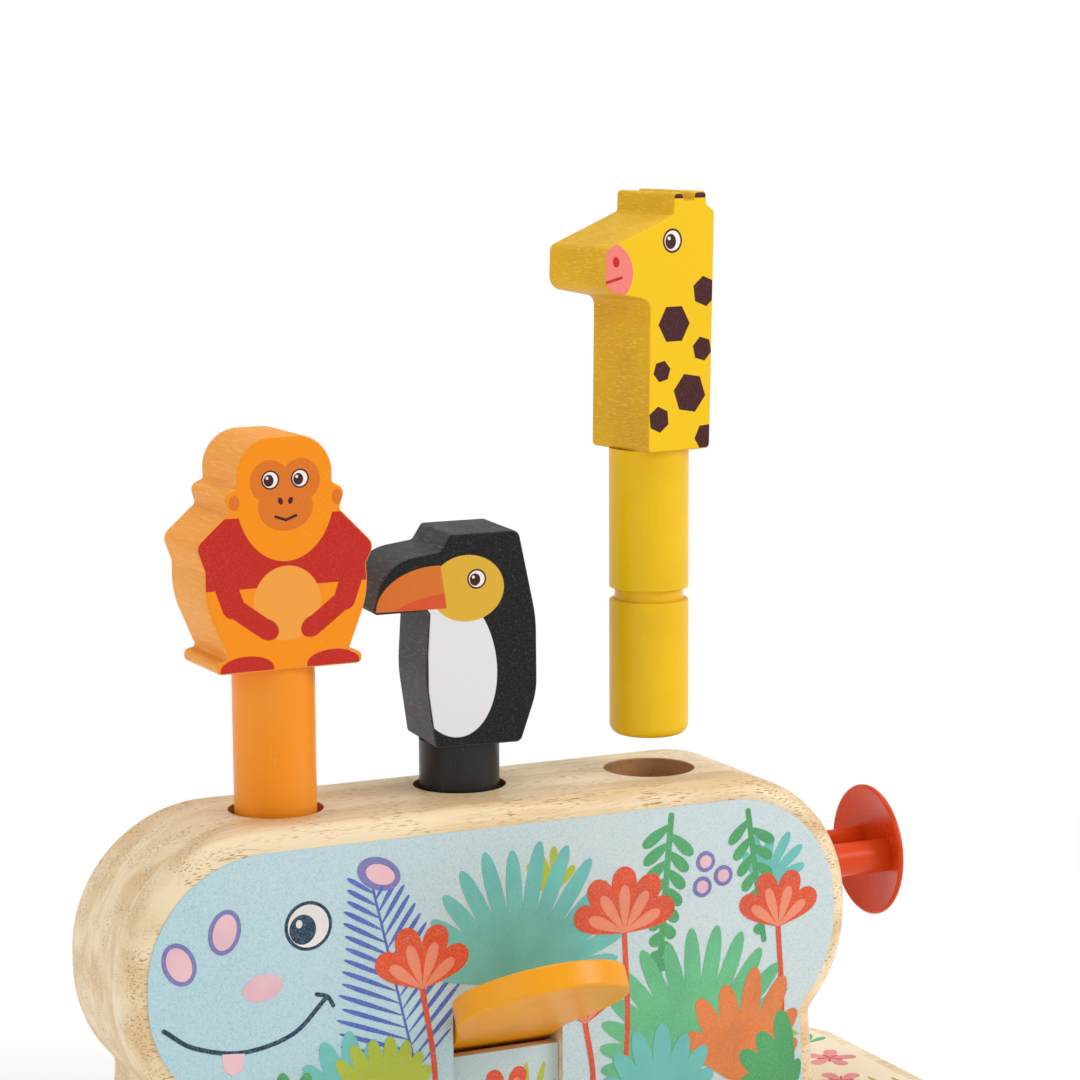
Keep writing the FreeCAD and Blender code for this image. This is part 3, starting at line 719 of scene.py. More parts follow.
class MotifTree:
    """A Geometry Nodes tree that lays blades out by a rule and ends as one plain mesh."""

    def __init__(self, name: str) -> None:
        """Make an empty tree with the inputs that every motif has.

        Args:
            name: The tree's name.
        """
        self.tree = bpy.data.node_groups.new(name, "GeometryNodeTree")
        self.graph = Graph(self.tree)
        face = self.tree.interface
        face.new_socket(name="Geometry", in_out="OUTPUT", socket_type="NodeSocketGeometry")
        for label in ("Count", "Seed"):
            face.new_socket(name=label, in_out="INPUT", socket_type="NodeSocketInt")
        for label in ("Reach", "Width", "Start", "Sweep", "Step", "Fade", "Variation", "Neck", "Thickness"):
            face.new_socket(name=label, in_out="INPUT", socket_type="NodeSocketFloat")
        face.new_socket(name="Ink", in_out="INPUT", socket_type="NodeSocketMaterial")
        self.inputs = self.graph.node("NodeGroupInput")

    def foot(self, corners: Sequence[Vector]) -> Vector:
        """Where the blade with these corners starts: every blade at the motif's own start."""
        return Vector((0.0, 0.0, 0.0))

    def given(self, name: str) -> Value:
        """One of the tree's inputs."""
        return Value(self.graph, self.inputs.outputs[name])

    def blade(self) -> Any:
        """A flat leaf of unit length and width from the origin along Y, narrow at its neck.

        Returns:
            The blade's geometry socket.
        """
        g = self.graph
        ring = g.node("GeometryNodeMeshCircle", {"fill_type": "NGON"},
                      {"Vertices": BLADE_CORNERS, "Radius": 0.5})
        place = g.node("ShaderNodeSeparateXYZ", {}, {0: g.node("GeometryNodeInputPosition").outputs[0]})
        x, y = Value(g, place.outputs[0]), Value(g, place.outputs[1])
        rise = y + 0.5
        swell = self.given("Neck") + (1.0 - self.given("Neck")) * 1.25 * rise
        there = g.node("ShaderNodeCombineXYZ", {}, {0: x * swell, 1: rise, 2: 0.0})
        moved = g.node("GeometryNodeSetPosition", {}, {0: ring.outputs[0], "Position": there.outputs[0]})
        return moved.outputs[0]

    def close(self, points: Any, blade: Any, angle: Value, length: Value) -> None:
        """Set blades on points at an angle and length, thicken them and end the tree.

        Args:
            points: The points' socket.
            blade: The blade's socket.
            angle: Each blade's angle about the sheet's normal.
            length: Each blade's length.
        """
        g = self.graph
        turn = g.node("ShaderNodeCombineXYZ", {}, {0: 0.0, 1: 0.0, 2: angle})
        size = g.node("ShaderNodeCombineXYZ", {}, {0: self.given("Width"), 1: length, 2: 1.0})
        spin = g.node("FunctionNodeEulerToRotation", {}, {0: turn.outputs[0]})
        set_on = g.node("GeometryNodeInstanceOnPoints", {}, {
            "Points": points, "Instance": blade, "Rotation": spin.outputs[0], "Scale": size.outputs[0]})
        flat = g.node("GeometryNodeRealizeInstances", {}, {0: set_on.outputs[0]})
        lift = g.node("ShaderNodeCombineXYZ", {}, {0: 0.0, 1: 0.0, 2: 1.0})
        raised = g.node("GeometryNodeExtrudeMesh", {"mode": "FACES"}, {
            "Mesh": flat.outputs[0], "Offset": lift.outputs[0], "Offset Scale": self.given("Thickness"),
            "Individual": False})
        under = g.node("GeometryNodeFlipFaces", {}, {0: flat.outputs[0]})
        both = g.node("GeometryNodeJoinGeometry")
        self.tree.links.new(raised.outputs[0], both.inputs[0])
        self.tree.links.new(under.outputs[0], both.inputs[0])
        whole = g.node("GeometryNodeRealizeInstances", {}, {0: both.outputs[0]})
        inked = g.node("GeometryNodeSetMaterial", {}, {0: whole.outputs[0], "Material": self.given("Ink")})
        g.node("NodeGroupOutput", {}, {0: inked.outputs[0]})

    def chance(self, low: float, high: float) -> Value:
        """A seeded number for each blade.

        Args:
            low: The least number.
            high: The greatest number.

        Returns:
            The number.
        """
        made = self.graph.node("FunctionNodeRandomValue", {"data_type": "FLOAT"})
        made.inputs[2].default_value = low
        made.inputs[3].default_value = high
        self.graph.feed(made.inputs["Seed"], self.given("Seed"))
        return Value(self.graph, made.outputs[1])

    def line(self, step: Number) -> tuple[Any, Value]:
        """As many points as blades, a step apart along Y, and each point's number.

        Args:
            step: From one point to the next, in millimetres.

        Returns:
            The points' socket and the number.
        """
        g = self.graph
        offset = g.node("ShaderNodeCombineXYZ", {}, {0: 0.0, 1: step, 2: BLADE_STEP})
        points = g.node("GeometryNodeMeshLine", {}, {
            "Count": self.given("Count"), "Start Location": (0.0, 0.0, BLADE_STEP),
            "Offset": offset.outputs[0]})
        return points.outputs[0], Value(g, g.node("GeometryNodeInputIndex").outputs[0])


class FanTree(MotifTree):
    """Blades that spread from one point, as in a palm leaf or a flower."""

    def __init__(self) -> None:
        """Build the tree."""
        super().__init__("blade_fan")
        points, number = self.line(0.0)
        share = number / (self.given("Count") - 1.0).most(1.0)
        angle = self.given("Start") + self.given("Sweep") * share
        off_middle = share * 2.0 - 1.0
        fade = 1.0 - self.given("Fade") * off_middle * off_middle
        length = self.given("Reach") * fade * (1.0 - self.given("Variation") * self.chance(0.0, 1.0))
        self.close(points, self.blade(), angle, length)


class RowTree(MotifTree):
    """Blades in pairs along a straight stem, as in a fern, a vine or a row of stripes."""

    def __init__(self) -> None:
        """Build the tree."""
        super().__init__("blade_row")
        points, number = self.line(self.given("Step"))
        share = number / (self.given("Count") - 1.0).most(1.0)
        pair = number / 2.0
        side = (pair - pair.floor()) * 4.0 - 1.0
        angle = side * (self.given("Start") + self.given("Sweep") * share)
        fade = 1.0 - self.given("Fade") * share
        length = self.given("Reach") * fade * (1.0 - self.given("Variation") * self.chance(0.0, 1.0))
        self.close(points, self.blade(), angle, length)

    def foot(self, corners: Sequence[Vector]) -> Vector:
        """Where the blade with these corners starts: at its place on the stem."""
        return Vector((0.0, min(corners, key=lambda corner: abs(corner.x)).y, 0.0))


class Printer:
    """Collects flat motifs by ink and layer, and turns each ink into one thin closed piece."""

    def __init__(self, name: str, body: str, slot: str) -> None:
        """Start an empty print.

        Args:
            name: The start of the pieces' names.
            body: The body that the print moves with.
            slot: Not used.
        """
        self.name = name
        self.body = body
        self.slot = slot
        self.plates: dict[Ink, bmesh.types.BMesh] = {}
        self.count = 0

    def _plate(self, ink: Ink) -> bmesh.types.BMesh:
        """The mesh that holds all motifs of an ink.

        Args:
            ink: The ink.

        Returns:
            The mesh.
        """
        if ink not in self.plates:
            self.plates[ink] = bmesh.new()
        return self.plates[ink]

    def height(self, layer: int) -> float:
        """How far the next motif's top stands off the sheet, in millimetres: never level with another."""
        self.count += 1
        return INK_THICKNESS + LAYER_STEP * layer + MOTIF_STEP * self.count

    def grow(self, motif: MotifTree, ink: Ink, sheet: Sheet, at: Point, turn: float, layer: int,
             **sizes: float) -> None:
        """Run a motif's tree and lay the result on a sheet.

        Args:
            motif: The tree to run.
            ink: The ink of the motif.
            sheet: The printed place.
            at: Where the motif starts, in millimetres across and up.
            turn: Its turn in degrees.
            layer: Its layer; a higher one lies on a lower one.
            **sizes: The tree's inputs; lengths in millimetres and angles in degrees.
        """
        host = bpy.data.objects.new("motif", bpy.data.meshes.new("motif"))
        bpy.context.scene.collection.objects.link(host)
        modifier = host.modifiers.new("motif", "NODES")
        modifier.node_group = motif.tree
        wanted = {"Count": 5, "Seed": 3, "Neck": 0.4, "Thickness": self.height(layer) + SHEET_SINK}
        wanted.update({key.title(): value for key, value in sizes.items()})
        for item in motif.tree.interface.items_tree:
            if item.in_out == "INPUT" and item.name in wanted:
                value = wanted[item.name]
                if item.name in ("Start", "Sweep"):
                    value = math.radians(value)
                whole = item.socket_type == "NodeSocketInt"
                modifier[item.identifier] = int(value) if whole else float(value)
        evaluated = host.evaluated_get(bpy.context.evaluated_depsgraph_get())
        mesh = bpy.data.meshes.new_from_object(evaluated)
        bpy.data.objects.remove(host)
        self.fit(mesh, motif, sheet, sheet.matrix(at[0], at[1], turn, 0.0))
        mesh.transform(Matrix.Scale(MM, 4))
        mesh.transform(sheet.matrix(at[0], at[1], turn, -SHEET_SINK))
        self._plate(ink).from_mesh(mesh)
        bpy.data.meshes.remove(mesh)

    @staticmethod
    def fit(mesh: bpy.types.Mesh, motif: MotifTree, sheet: Sheet, place: Matrix) -> None:
        """Close each blade, and shorten or leave out those that would reach past the sheet.

        Args:
            mesh: The motif, flat and in millimetres.
            motif: The tree that made it.
            sheet: The printed place.
            place: Where the motif lies on the sheet.
        """
        work = bmesh.new()
        work.from_mesh(mesh)
        bmesh.ops.remove_doubles(work, verts=work.verts, dist=WELD)
        bmesh.ops.recalc_face_normals(work, faces=work.faces)
        for blade in islands(work):
            foot = motif.foot([corner.co for corner in blade])
            for share in SHORTER:
                flat = [foot + (Vector((c.co.x, c.co.y, 0.0)) - foot) * share for c in blade]
                if sheet.holds([sheet.flat(place @ (point * MM)) for point in flat]):
                    for corner, point in zip(blade, flat):
                        corner.co.x, corner.co.y = point.x, point.y
                    break
            else:
                bmesh.ops.delete(work, geom=blade, context="VERTS")
        work.to_mesh(mesh)
        work.free()

    def lay(self, ink: Ink, sheet: Sheet, outline: Sequence[Point], layer: int) -> None:
        """Lay one closed outline on a sheet as a thin plate.

        Args:
            ink: The ink of the plate.
            sheet: The printed place.
            outline: Its corners in millimetres across and up.
            layer: Its layer.
        """
        if not sheet.holds(outline):
            LOG.warning("%s: a shape of %s at %s reaches past the sheet", self.name, ink.name, outline[0])
        plate = self._plate(ink)
        low = sheet.matrix(0.0, 0.0, 0.0, -SHEET_SINK)
        rise = sheet.out * (self.height(layer) + SHEET_SINK) * MM
        points = [low @ Vector((u * MM, v * MM, 0.0)) for u, v in outline]
        lower = [plate.verts.new(point) for point in points]
        upper = [plate.verts.new(point + rise) for point in points]
        plate.faces.new(upper)
        plate.faces.new(lower[::-1])
        for i, corner in enumerate(lower):
            after = (i + 1) % len(lower)
            plate.faces.new((corner, lower[after], upper[after], upper[i]))

    def stem(self, ink: Ink, sheet: Sheet, route: Sequence[Point], width: float, layer: int) -> None:
        """Lay a curved stroke of a width that follows a smooth line through a few points.

        Args:
            ink: The ink of the stroke.
            sheet: The printed place.
            route: The points that it follows.
            width: Its width.
            layer: Its layer.
        """
        line = smooth_line(route, CURVE_STEPS)
        left, right = [], []
        for i, here in enumerate(line):
            along = (line[min(i + 1, len(line) - 1)] - line[max(i - 1, 0)]).normalized()
            aside = Vector((-along.y, along.x)) * width / 2
            left.append(here + aside)
            right.append(here - aside)
        outline = right + round_end(line[-1], line[-1] - line[-2], width / 2)
        outline += left[::-1] + round_end(line[0], line[0] - line[1], width / 2)
        self.lay(ink, sheet, [(p.x, p.y) for p in outline], layer)

    def pieces(self) -> None:
        """Make one object of each ink, on its body, with its finish."""
        for ink, plate in self.plates.items():
            bmesh.ops.recalc_face_normals(plate, faces=plate.faces)
            bmesh.ops.triangulate(plate, faces=[f for f in plate.faces if len(f.verts) > 4])
            mesh = bpy.data.meshes.new(f"{self.name}_{ink.name.lower()}")
            plate.to_mesh(mesh)
            plate.free()
            mesh.materials.clear()
            mesh.materials.append(Finishes.ink(ink))
            made = bpy.data.objects.new(mesh.name, mesh)
            bpy.context.scene.collection.objects.link(made)
            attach(made, self.body)
            LOG.info("%s: %d faces", made.name, len(mesh.polygons))


def islands(work: bmesh.types.BMesh) -> list[list[bmesh.types.BMVert]]:
    """The corners of each closed shell in a mesh.

    Args:
        work: The mesh.

    Returns:
        A list of corners for each shell.
    """
    left = set(work.verts)
    shells = []
    for first in work.verts:
        if first not in left:
            continue
        left.discard(first)
        shell = [first]
        for corner in shell:
            for edge in corner.link_edges:
                other = edge.other_vert(corner)
                if other in left:
                    left.discard(other)
                    shell.append(other)
        shells.append(shell)
    return shells


def smooth_line(route: Sequence[Point], steps: int) -> list[Vector]:
    """A smooth line through a few points.

    Args:
        route: The points that it passes.
        steps: How many short pieces lie between two points.

    Returns:
        The line's points.
    """
    points = [Vector(p) for p in route]
    points = [points[0] * 2 - points[1]] + points + [points[-1] * 2 - points[-2]]
    line = []
    for a, b, c, d in zip(points, points[1:], points[2:], points[3:]):
        for i in range(steps):
            t = i / steps
            line.append((b * 2 + (c - a) * t + (a * 2 - b * 5 + c * 4 - d) * t ** 2
                         + (b * 3 - a - c * 3 + d) * t ** 3) / 2)
    return line + [points[-2]]


def round_end(centre: Vector, out: Vector, radius: float) -> list[Vector]:
    """The points of a half circle that closes a stroke, from its right side to its left.

    Args:
        centre: The stroke's end.
        out: The direction that the stroke ends in.
        radius: Half the stroke's width.

    Returns:
        The points.
    """
    start = math.atan2(out.y, out.x)
    turns = [start + math.radians(angle) for angle in (-60, -30, 0, 30, 60)]
    return [centre + Vector((math.cos(t), math.sin(t))) * radius for t in turns]


def oval(x: float, y: float, half: float, tall: float, lean: float = 0.0) -> list[Point]:
    """The outline of an ellipse with a lean in degrees.

    Args:
        x: The centre's place across.
        y: The centre's place up.
        half: Half its width.
        tall: Half its height.
        lean: Its lean in degrees.

    Returns:
        The corners.
    """
    c, s = math.cos(math.radians(lean)), math.sin(math.radians(lean))
    outline = []
    for i in range(OVAL_CORNERS):
        t = math.tau * i / OVAL_CORNERS
        u, v = half * math.cos(t), tall * math.sin(t)
        outline.append((x + u * c - v * s, y + u * s + v * c))
    return outline


class Finishes:
    """The materials that several pieces share, each made once."""

    made: dict[str, bpy.types.Material] = {}

    @classmethod
    def ink(cls, ink: Ink) -> bpy.types.Material:
        """The finish of a printed ink.

        Args:
            ink: The ink.

        Returns:
            Its material.
        """
        if ink.name not in cls.made:
            cls.made[ink.name] = PrintInk(ink).build()
        return cls.made[ink.name]


def dress(material: bpy.types.Material, *nodes: str) -> None:
    """Give CAD nodes a finish in their own material slots.

    Args:
        material: The finish.
        *nodes: The nodes' names.
    """
    for name in nodes:
        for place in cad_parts[name].material_slots:
            place.material = material
        LOG.info("%s wears %s", name, material.name)


def sheet_on(node: str) -> Sheet:
    """The front of an upright printed node, with its origin at X 0 and Z 0.

    Args:
        node: The CAD node's name.

    Returns:
        The sheet, with its outline.
    """
    low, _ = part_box(node)
    sheet = Sheet(Vector((0, low.y, 0)), Vector((1, 0, 0)), Vector((0, 0, 1)), Vector((0, -1, 0)))
    return sheet.with_rim(node)


@dataclass
class HippoBlock:
    """The hippo block with its front print and its small covers."""

    fans: FanTree
    rows: RowTree
    eye: Point = (-57.0, 79.0)
    eye_radius: float = 6.6
    cheek: Point = (-70.0, 64.0)

    def dress(self) -> None:
        """Give the block, its covers and its sheets their finishes."""
        bores = tuple(self.axis(f"{name}_peg") for name in ("monkey", "toucan", "giraffe"))
        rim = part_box("hippo_body")[1].z / MM
        wood = VarnishedWood("hippo_wood", pores=1.25, bores=bores, rim=rim).build()
        dress(wood, "hippo_body", "latch_cover")
        dress(VarnishedWood("cover_wood", stave=60.0, pores=0.6).build(), "slot_cover")
        ground = PrintedSheet("hippo_print_ground", warm="C6D8DC", cool="A9D0DA").build()
        dress(ground, "front_picture_sheet", "slot_cover_sheet")

    @staticmethod
    def axis(node: str) -> Point:
        """Where an upright round node's axis stands, in metres.

        Args:
            node: The CAD node's name.

        Returns:
            Its place along X and Y.
        """
        low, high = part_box(node)
        return ((low.x + high.x) / 2, (low.y + high.y) / 2)

    def print_face(self, printer: Printer, sheet: Sheet) -> None:
        """Print a plain hippo's face at the left end: an eye, nostrils, a cheek and a smile.

        Args:
            printer: The print to add to.
            sheet: The front's sheet.
        """
        x, z = self.eye
        r = self.eye_radius
        printer.lay(Ink.NAVY, sheet, oval(x, z, r, r), 1)
        printer.lay(Ink.CREAM, sheet, oval(x, z, r - 0.9, r - 0.9), 2)
        printer.lay(Ink.NAVY, sheet, oval(x - 1.6, z - 0.8, r - 2.9, r - 2.6), 3)
        printer.lay(Ink.CREAM, sheet, oval(x - 2.6, z + 0.8, 0.9, 1.1), 4)
        for nx, nz, lean in ((-92.5, 73.0, 24.0), (-80.0, 80.0, -14.0)):
            printer.lay(Ink.LILAC, sheet, oval(nx, nz, 4.4, 6.0, lean), 1)
            printer.lay(Ink.ROSE, sheet, oval(nx, nz, 3.2, 4.8, lean), 2)
        printer.lay(Ink.ROSE, sheet, oval(self.cheek[0], self.cheek[1], 5.6, 3.6, 8.0), 1)
        smile = [(-97.0, 56.0), (-89.0, 50.5), (-76.0, 47.5), (-62.0, 50.5), (-52.5, 59.0)]
        printer.stem(Ink.NAVY, sheet, smile, 1.2, 1)
        printer.stem(Ink.NAVY, sheet, [(-55.0, 60.4), (-52.0, 59.4), (-50.4, 56.8)], 1.1, 1)
        tooth = [(-81.4, 47.8), (-81.0, 43.4), (-78.6, 41.6), (-75.8, 42.8), (-75.2, 47.2)]
        printer.lay(Ink.ROSE, sheet, tooth, 1)
        printer.lay(Ink.LILAC, sheet, oval(-37.0, 90.6, 6.4, 4.3, -24.0), 1)
        printer.lay(Ink.ROSE, sheet, oval(-36.6, 90.4, 4.3, 2.6, -24.0), 2)

    def palm(self, printer: Printer, sheet: Sheet, ink: Ink, at: Point, turn: float, reach: float,
             count: int, layer: int, width: float = 5.2, sweep: float = 170.0) -> None:
        """Print one palm leaf.

        Args:
            printer: The print to add to.
            sheet: The printed place.
            ink: The leaf's ink.
            at: Its root.
            turn: Its turn in degrees.
            reach: The blades' length.
            count: The number of blades.
            layer: Its layer.
            width: A blade's width.
            sweep: The spread in degrees.
        """
        printer.grow(self.fans, ink, sheet, at, turn, layer, count=count, reach=reach, width=width,
                     start=-sweep / 2, sweep=sweep, fade=0.28, variation=0.10, seed=count, neck=0.30)

    def fern(self, printer: Printer, sheet: Sheet, ink: Ink, at: Point, turn: float, count: int,
             step: float, reach: float, width: float, layer: int, lean: float = 62.0) -> None:
        """Print one fern leaf: a stem with leaflets that shorten towards its tip.

        Args:
            printer: The print to add to.
            sheet: The printed place.
            ink: The leaf's ink.
            at: Its root.
            turn: Its turn in degrees.
            count: The number of leaflets.
            step: From one leaflet to the next.
            reach: The lowest leaflets' length.
            width: A leaflet's width.
            layer: Its layer.
            lean: The leaflets' angle to the stem.
        """
        printer.grow(self.rows, ink, sheet, at, turn, layer, count=count, reach=reach, width=width,
                     start=lean, sweep=-14.0, step=step, fade=0.62, variation=0.08, seed=count, neck=0.5)
        c, s = math.cos(math.radians(turn)), math.sin(math.radians(turn))
        run = step * (count + 1)
        tip = (at[0] - s * run, at[1] + c * run)
        foot = (at[0] + s * step, at[1] - c * step)
        middle = ((foot[0] + tip[0]) / 2, (foot[1] + tip[1]) / 2)
        printer.stem(ink, sheet, [foot, middle, tip], max(width * 0.45, 0.7), layer)

    def blossom(self, printer: Printer, sheet: Sheet, foot: Point, top: Point, petals: int, size: float,
                layer: int) -> None:
        """Print a flower on a stem: petals, each with a narrower pale petal on it.

        Args:
            printer: The print to add to.
            sheet: The printed place.
            foot: The stem's foot.
            top: The petals' root.
            petals: The number of petals.
            size: A petal's length.
            layer: Its layer.
        """
        middle = ((foot[0] + top[0]) / 2 + 1.8, (foot[1] + top[1]) / 2)
        printer.stem(Ink.VERMILION, sheet, [foot, middle, top], 1.5, layer)
        sweep = 26.0 * petals
        for ink, reach, rise in ((Ink.VERMILION, size, 0), (Ink.SALMON, size * 0.72, 1)):
            printer.grow(self.fans, ink, sheet, top, 0.0, layer + rise, count=petals, reach=reach,
                         width=size * (0.50 if rise == 0 else 0.22), start=-sweep / 2, sweep=sweep,
                         fade=0.1, neck=0.2)

    def print_foliage(self, printer: Printer, sheet: Sheet) -> None:
        """Print the jungle to the right of the face, from the back layer to the front one.

        Args:
            printer: The print to add to.
            sheet: The front's sheet.
        """
        self.fern(printer, sheet, Ink.VIOLET, (-27.0, 36.0), 13.0, 30, 1.75, 25.0, 1.5, 0, 58.0)
        self.palm(printer, sheet, Ink.TEAL, (3.0, 56.0), -10.0, 41.0, 15, 1, 5.6, 172.0)
        self.palm(printer, sheet, Ink.LIME, (90.0, 30.0), 12.0, 40.0, 12, 0, 5.6, 132.0)
        self.fern(printer, sheet, Ink.LEAF, (49.2, 94.6), 175.0, 16, 2.5, 10.5, 3.9, 1, 52.0)
        self.fern(printer, sheet, Ink.LEAF, (73.6, 93.4), 188.0, 13, 2.5, 9.5, 3.6, 1, 52.0)
        self.palm(printer, sheet, Ink.GREEN, (57.0, 25.0), 2.0, 42.0, 15, 2, 6.0, 164.0)
        for foot, top, petals, size in (
                ((33.0, 11.4), (35.0, 66.0), 5, 18.5), ((24.0, 11.4), (23.0, 42.0), 3, 16.0),
                ((-22.0, 11.4), (-25.0, 58.0), 4, 18.0), ((82.0, 11.4), (83.0, 62.0), 4, 16.5)):
            self.blossom(printer, sheet, foot, top, petals, size, 3)
        for ink, at, turn, reach, count, layer, width, sweep in (
                (Ink.ORANGE, (71.0, 18.0), -8.0, 34.0, 7, 4, 7.4, 104.0),
                (Ink.TEAL, (46.0, 12.5), 8.0, 28.0, 8, 5, 6.6, 128.0),
                (Ink.LEAF, (88.0, 12.5), 10.0, 26.0, 7, 5, 7.2, 116.0),
                (Ink.LIME, (-34.0, 22.0), 20.0, 27.0, 10, 4, 5.2, 112.0),
                (Ink.TEAL, (-43.0, 20.0), 14.0, 31.0, 8, 2, 6.6, 104.0),
                (Ink.LEAF, (-62.0, 18.0), 8.0, 23.0, 7, 3, 5.6, 110.0),
                (Ink.GREEN, (-84.0, 14.0), 6.0, 20.0, 7, 3, 5.4, 110.0)):
            self.palm(printer, sheet, ink, at, turn, reach, count, layer, width, sweep)
        self.palm(printer, sheet, Ink.TEAL, (78.0, 74.0), -30.0, 17.0, 7, 0, 3.6, 120.0)
        self.palm(printer, sheet, Ink.LIME, (14.0, 80.0), 12.0, 13.0, 6, 0, 3.0, 110.0)
        for x, z in ((60.0, 83.0), (65.5, 78.5), (59.0, 76.0)):
            printer.lay(Ink.LILAC, sheet, oval(x, z, 2.9, 2.9), 2)
            printer.lay(Ink.ROSE, sheet, oval(x, z, 1.8, 1.8), 3)

    def print_slot_cover(self) -> None:
        """Print leaves on the slot's cover, below the lever."""
        sheet = sheet_on("slot_cover_sheet")
        printer = Printer("cover_print", "root", "slot_print")
        self.palm(printer, sheet, Ink.LIME, (6.0, 10.2), -8.0, 24.0, 8, 0, 2.2, 96.0)
        self.palm(printer, sheet, Ink.TEAL, (-8.0, 10.2), 8.0, 17.0, 5, 1, 4.4, 80.0)
        self.blossom(printer, sheet, (-1.0, 11.4), (0.5, 22.0), 2, 12.0, 2)
        printer.pieces()

    def build(self) -> None:
        """Dress the block and print its front."""
        self.dress()
        sheet = sheet_on("front_picture_sheet")
        printer = Printer("front_print", "root", "front_print")
        self.print_face(printer, sheet)
        self.print_foliage(printer, sheet)
        printer.pieces()
        self.print_slot_cover()


@dataclass
class BaseBoard:
    """The board with its print of stripes and flowers."""

    fans: FanTree
    rows: RowTree
    flower: float = 8.0

    def build(self) -> None:
        """Dress the board and print its top."""
        dress(VarnishedWood("board_wood", light="F7E9CC", dark="E6C99A", stave=30.0).build(), "base_board")
        dress(PrintedSheet("board_print_ground", warm="F3E6C8", cool="F6EBD2").build(), "base_picture_sheet")
        _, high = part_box("base_picture_sheet")
        sheet = Sheet(Vector((0, 0, high.z)), Vector((1, 0, 0)), Vector((0, 1, 0)), Vector((0, 0, 1)))
        sheet = sheet.with_rim("base_picture_sheet")
        printer = Printer("board_print", "root", "base_print")
        for x, y, turn, count in ((106.0, -37.0, -90.0, 8), (-128.0, -36.0, -90.0, 8)):
            printer.grow(self.rows, Ink.LIME, sheet, (x, y), turn, 0, count=count, reach=26.0, width=2.2,
                         start=90.0, step=2.9, neck=0.9, variation=0.2)
        for x in (-92.0, -44.0, 4.0, 52.0):
            printer.grow(self.rows, Ink.LIME, sheet, (x, -36.5), -90.0, 0, count=11, reach=8.0, width=1.9,
                         start=90.0, step=2.9, neck=0.9, variation=0.25)
        for x, y, turn in ((112.0, -12.0, 8.0), (120.0, 8.0, 40.0), (-112.0, 4.0, 20.0),
                           (-120.0, -18.0, 0.0), (-70.0, -34.0, 15.0), (34.0, -34.0, 50.0),
                           (90.0, -34.0, 25.0), (108.0, 28.0, 5.0)):
            self.print_flower(printer, sheet, (x, y), turn)
        for x, y, turn in ((104.0, -24.0, 50.0), (122.0, 24.0, -30.0), (-106.0, 26.0, 20.0),
                           (-20.0, -34.0, 80.0)):
            printer.grow(self.fans, Ink.GREEN, sheet, (x, y), turn, 1, count=3, reach=9.0, width=3.2,
                         start=-40.0, sweep=80.0, neck=0.2)
        printer.pieces()

    def print_flower(self, printer: Printer, sheet: Sheet, at: Point, turn: float) -> None:
        """Print one five-petalled flower with its stamens.

        Args:
            printer: The print to add to.
            sheet: The board's sheet.
            at: The flower's middle.
            turn: Its turn in degrees.
        """
        printer.grow(self.fans, Ink.PETAL, sheet, at, turn, 1, count=5, reach=self.flower,
                     width=self.flower * 0.62, sweep=288.0, neck=0.2)
        printer.grow(self.fans, Ink.STAMEN, sheet, at, turn + 36.0, 2, count=5, reach=self.flower * 0.5,
                     width=0.7, sweep=288.0, neck=0.6)


@dataclass
class Figure:
    """A figure cut from thick board on a round peg."""

    name: str
    face: Paint
    side: Paint
    glint: str
    turn: float
    grain: float = 0.5

    def centre(self) -> Vector:
        """The foot of the figure's block: on its peg's axis, where the block starts.

        Returns:
            The place in metres.
        """
        low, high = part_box(f"{self.name}_peg")
        bottom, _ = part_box(f"{self.name}_block")
        return Vector(((low.x + high.x) / 2, (low.y + high.y) / 2, bottom.z))

    def prints(self) -> list[Any]:
        """The shapes printed on the faces, from the lowest to the topmost."""
        return []

    def build(self) -> None:
        """Dress the block and its peg."""
        finish = FigurePaint(f"{self.name}_block_paint", self.face, self.side, self.glint,
                             self.centre(), self.turn, self.grain)
        dress(finish.build(self.prints()), f"{self.name}_block")
        peg = SatinPaint(f"{self.name}_peg_paint", self.face, self.side, grain=(2600.0, 2600.0, 70.0))
        dress(peg.build(), f"{self.name}_peg")

    @staticmethod
    def eye(x: float, y: float, radius: float, dark: Paint) -> list[Any]:
        """The printed shapes of one round eye with a ring, a pupil and a glint.

        Args:
            x: The eye's place across.
            y: The eye's place up.
            radius: Its radius.
            dark: The ring's and the pupil's paint.

        Returns:
            The shapes.
        """
        return [
            lambda c: (c.ellipse(x, y, radius, radius), dark),
            lambda c: (c.ellipse(x, y, radius * 0.82, radius * 0.82), Paint.LINEN),
            lambda c: (c.ellipse(x - radius * 0.18, y - radius * 0.06, radius * 0.56, radius * 0.62), dark),
            lambda c: (c.ellipse(x - radius * 0.34, y + radius * 0.2, radius * 0.15, radius * 0.15),
                       Paint.LINEN),
        ]


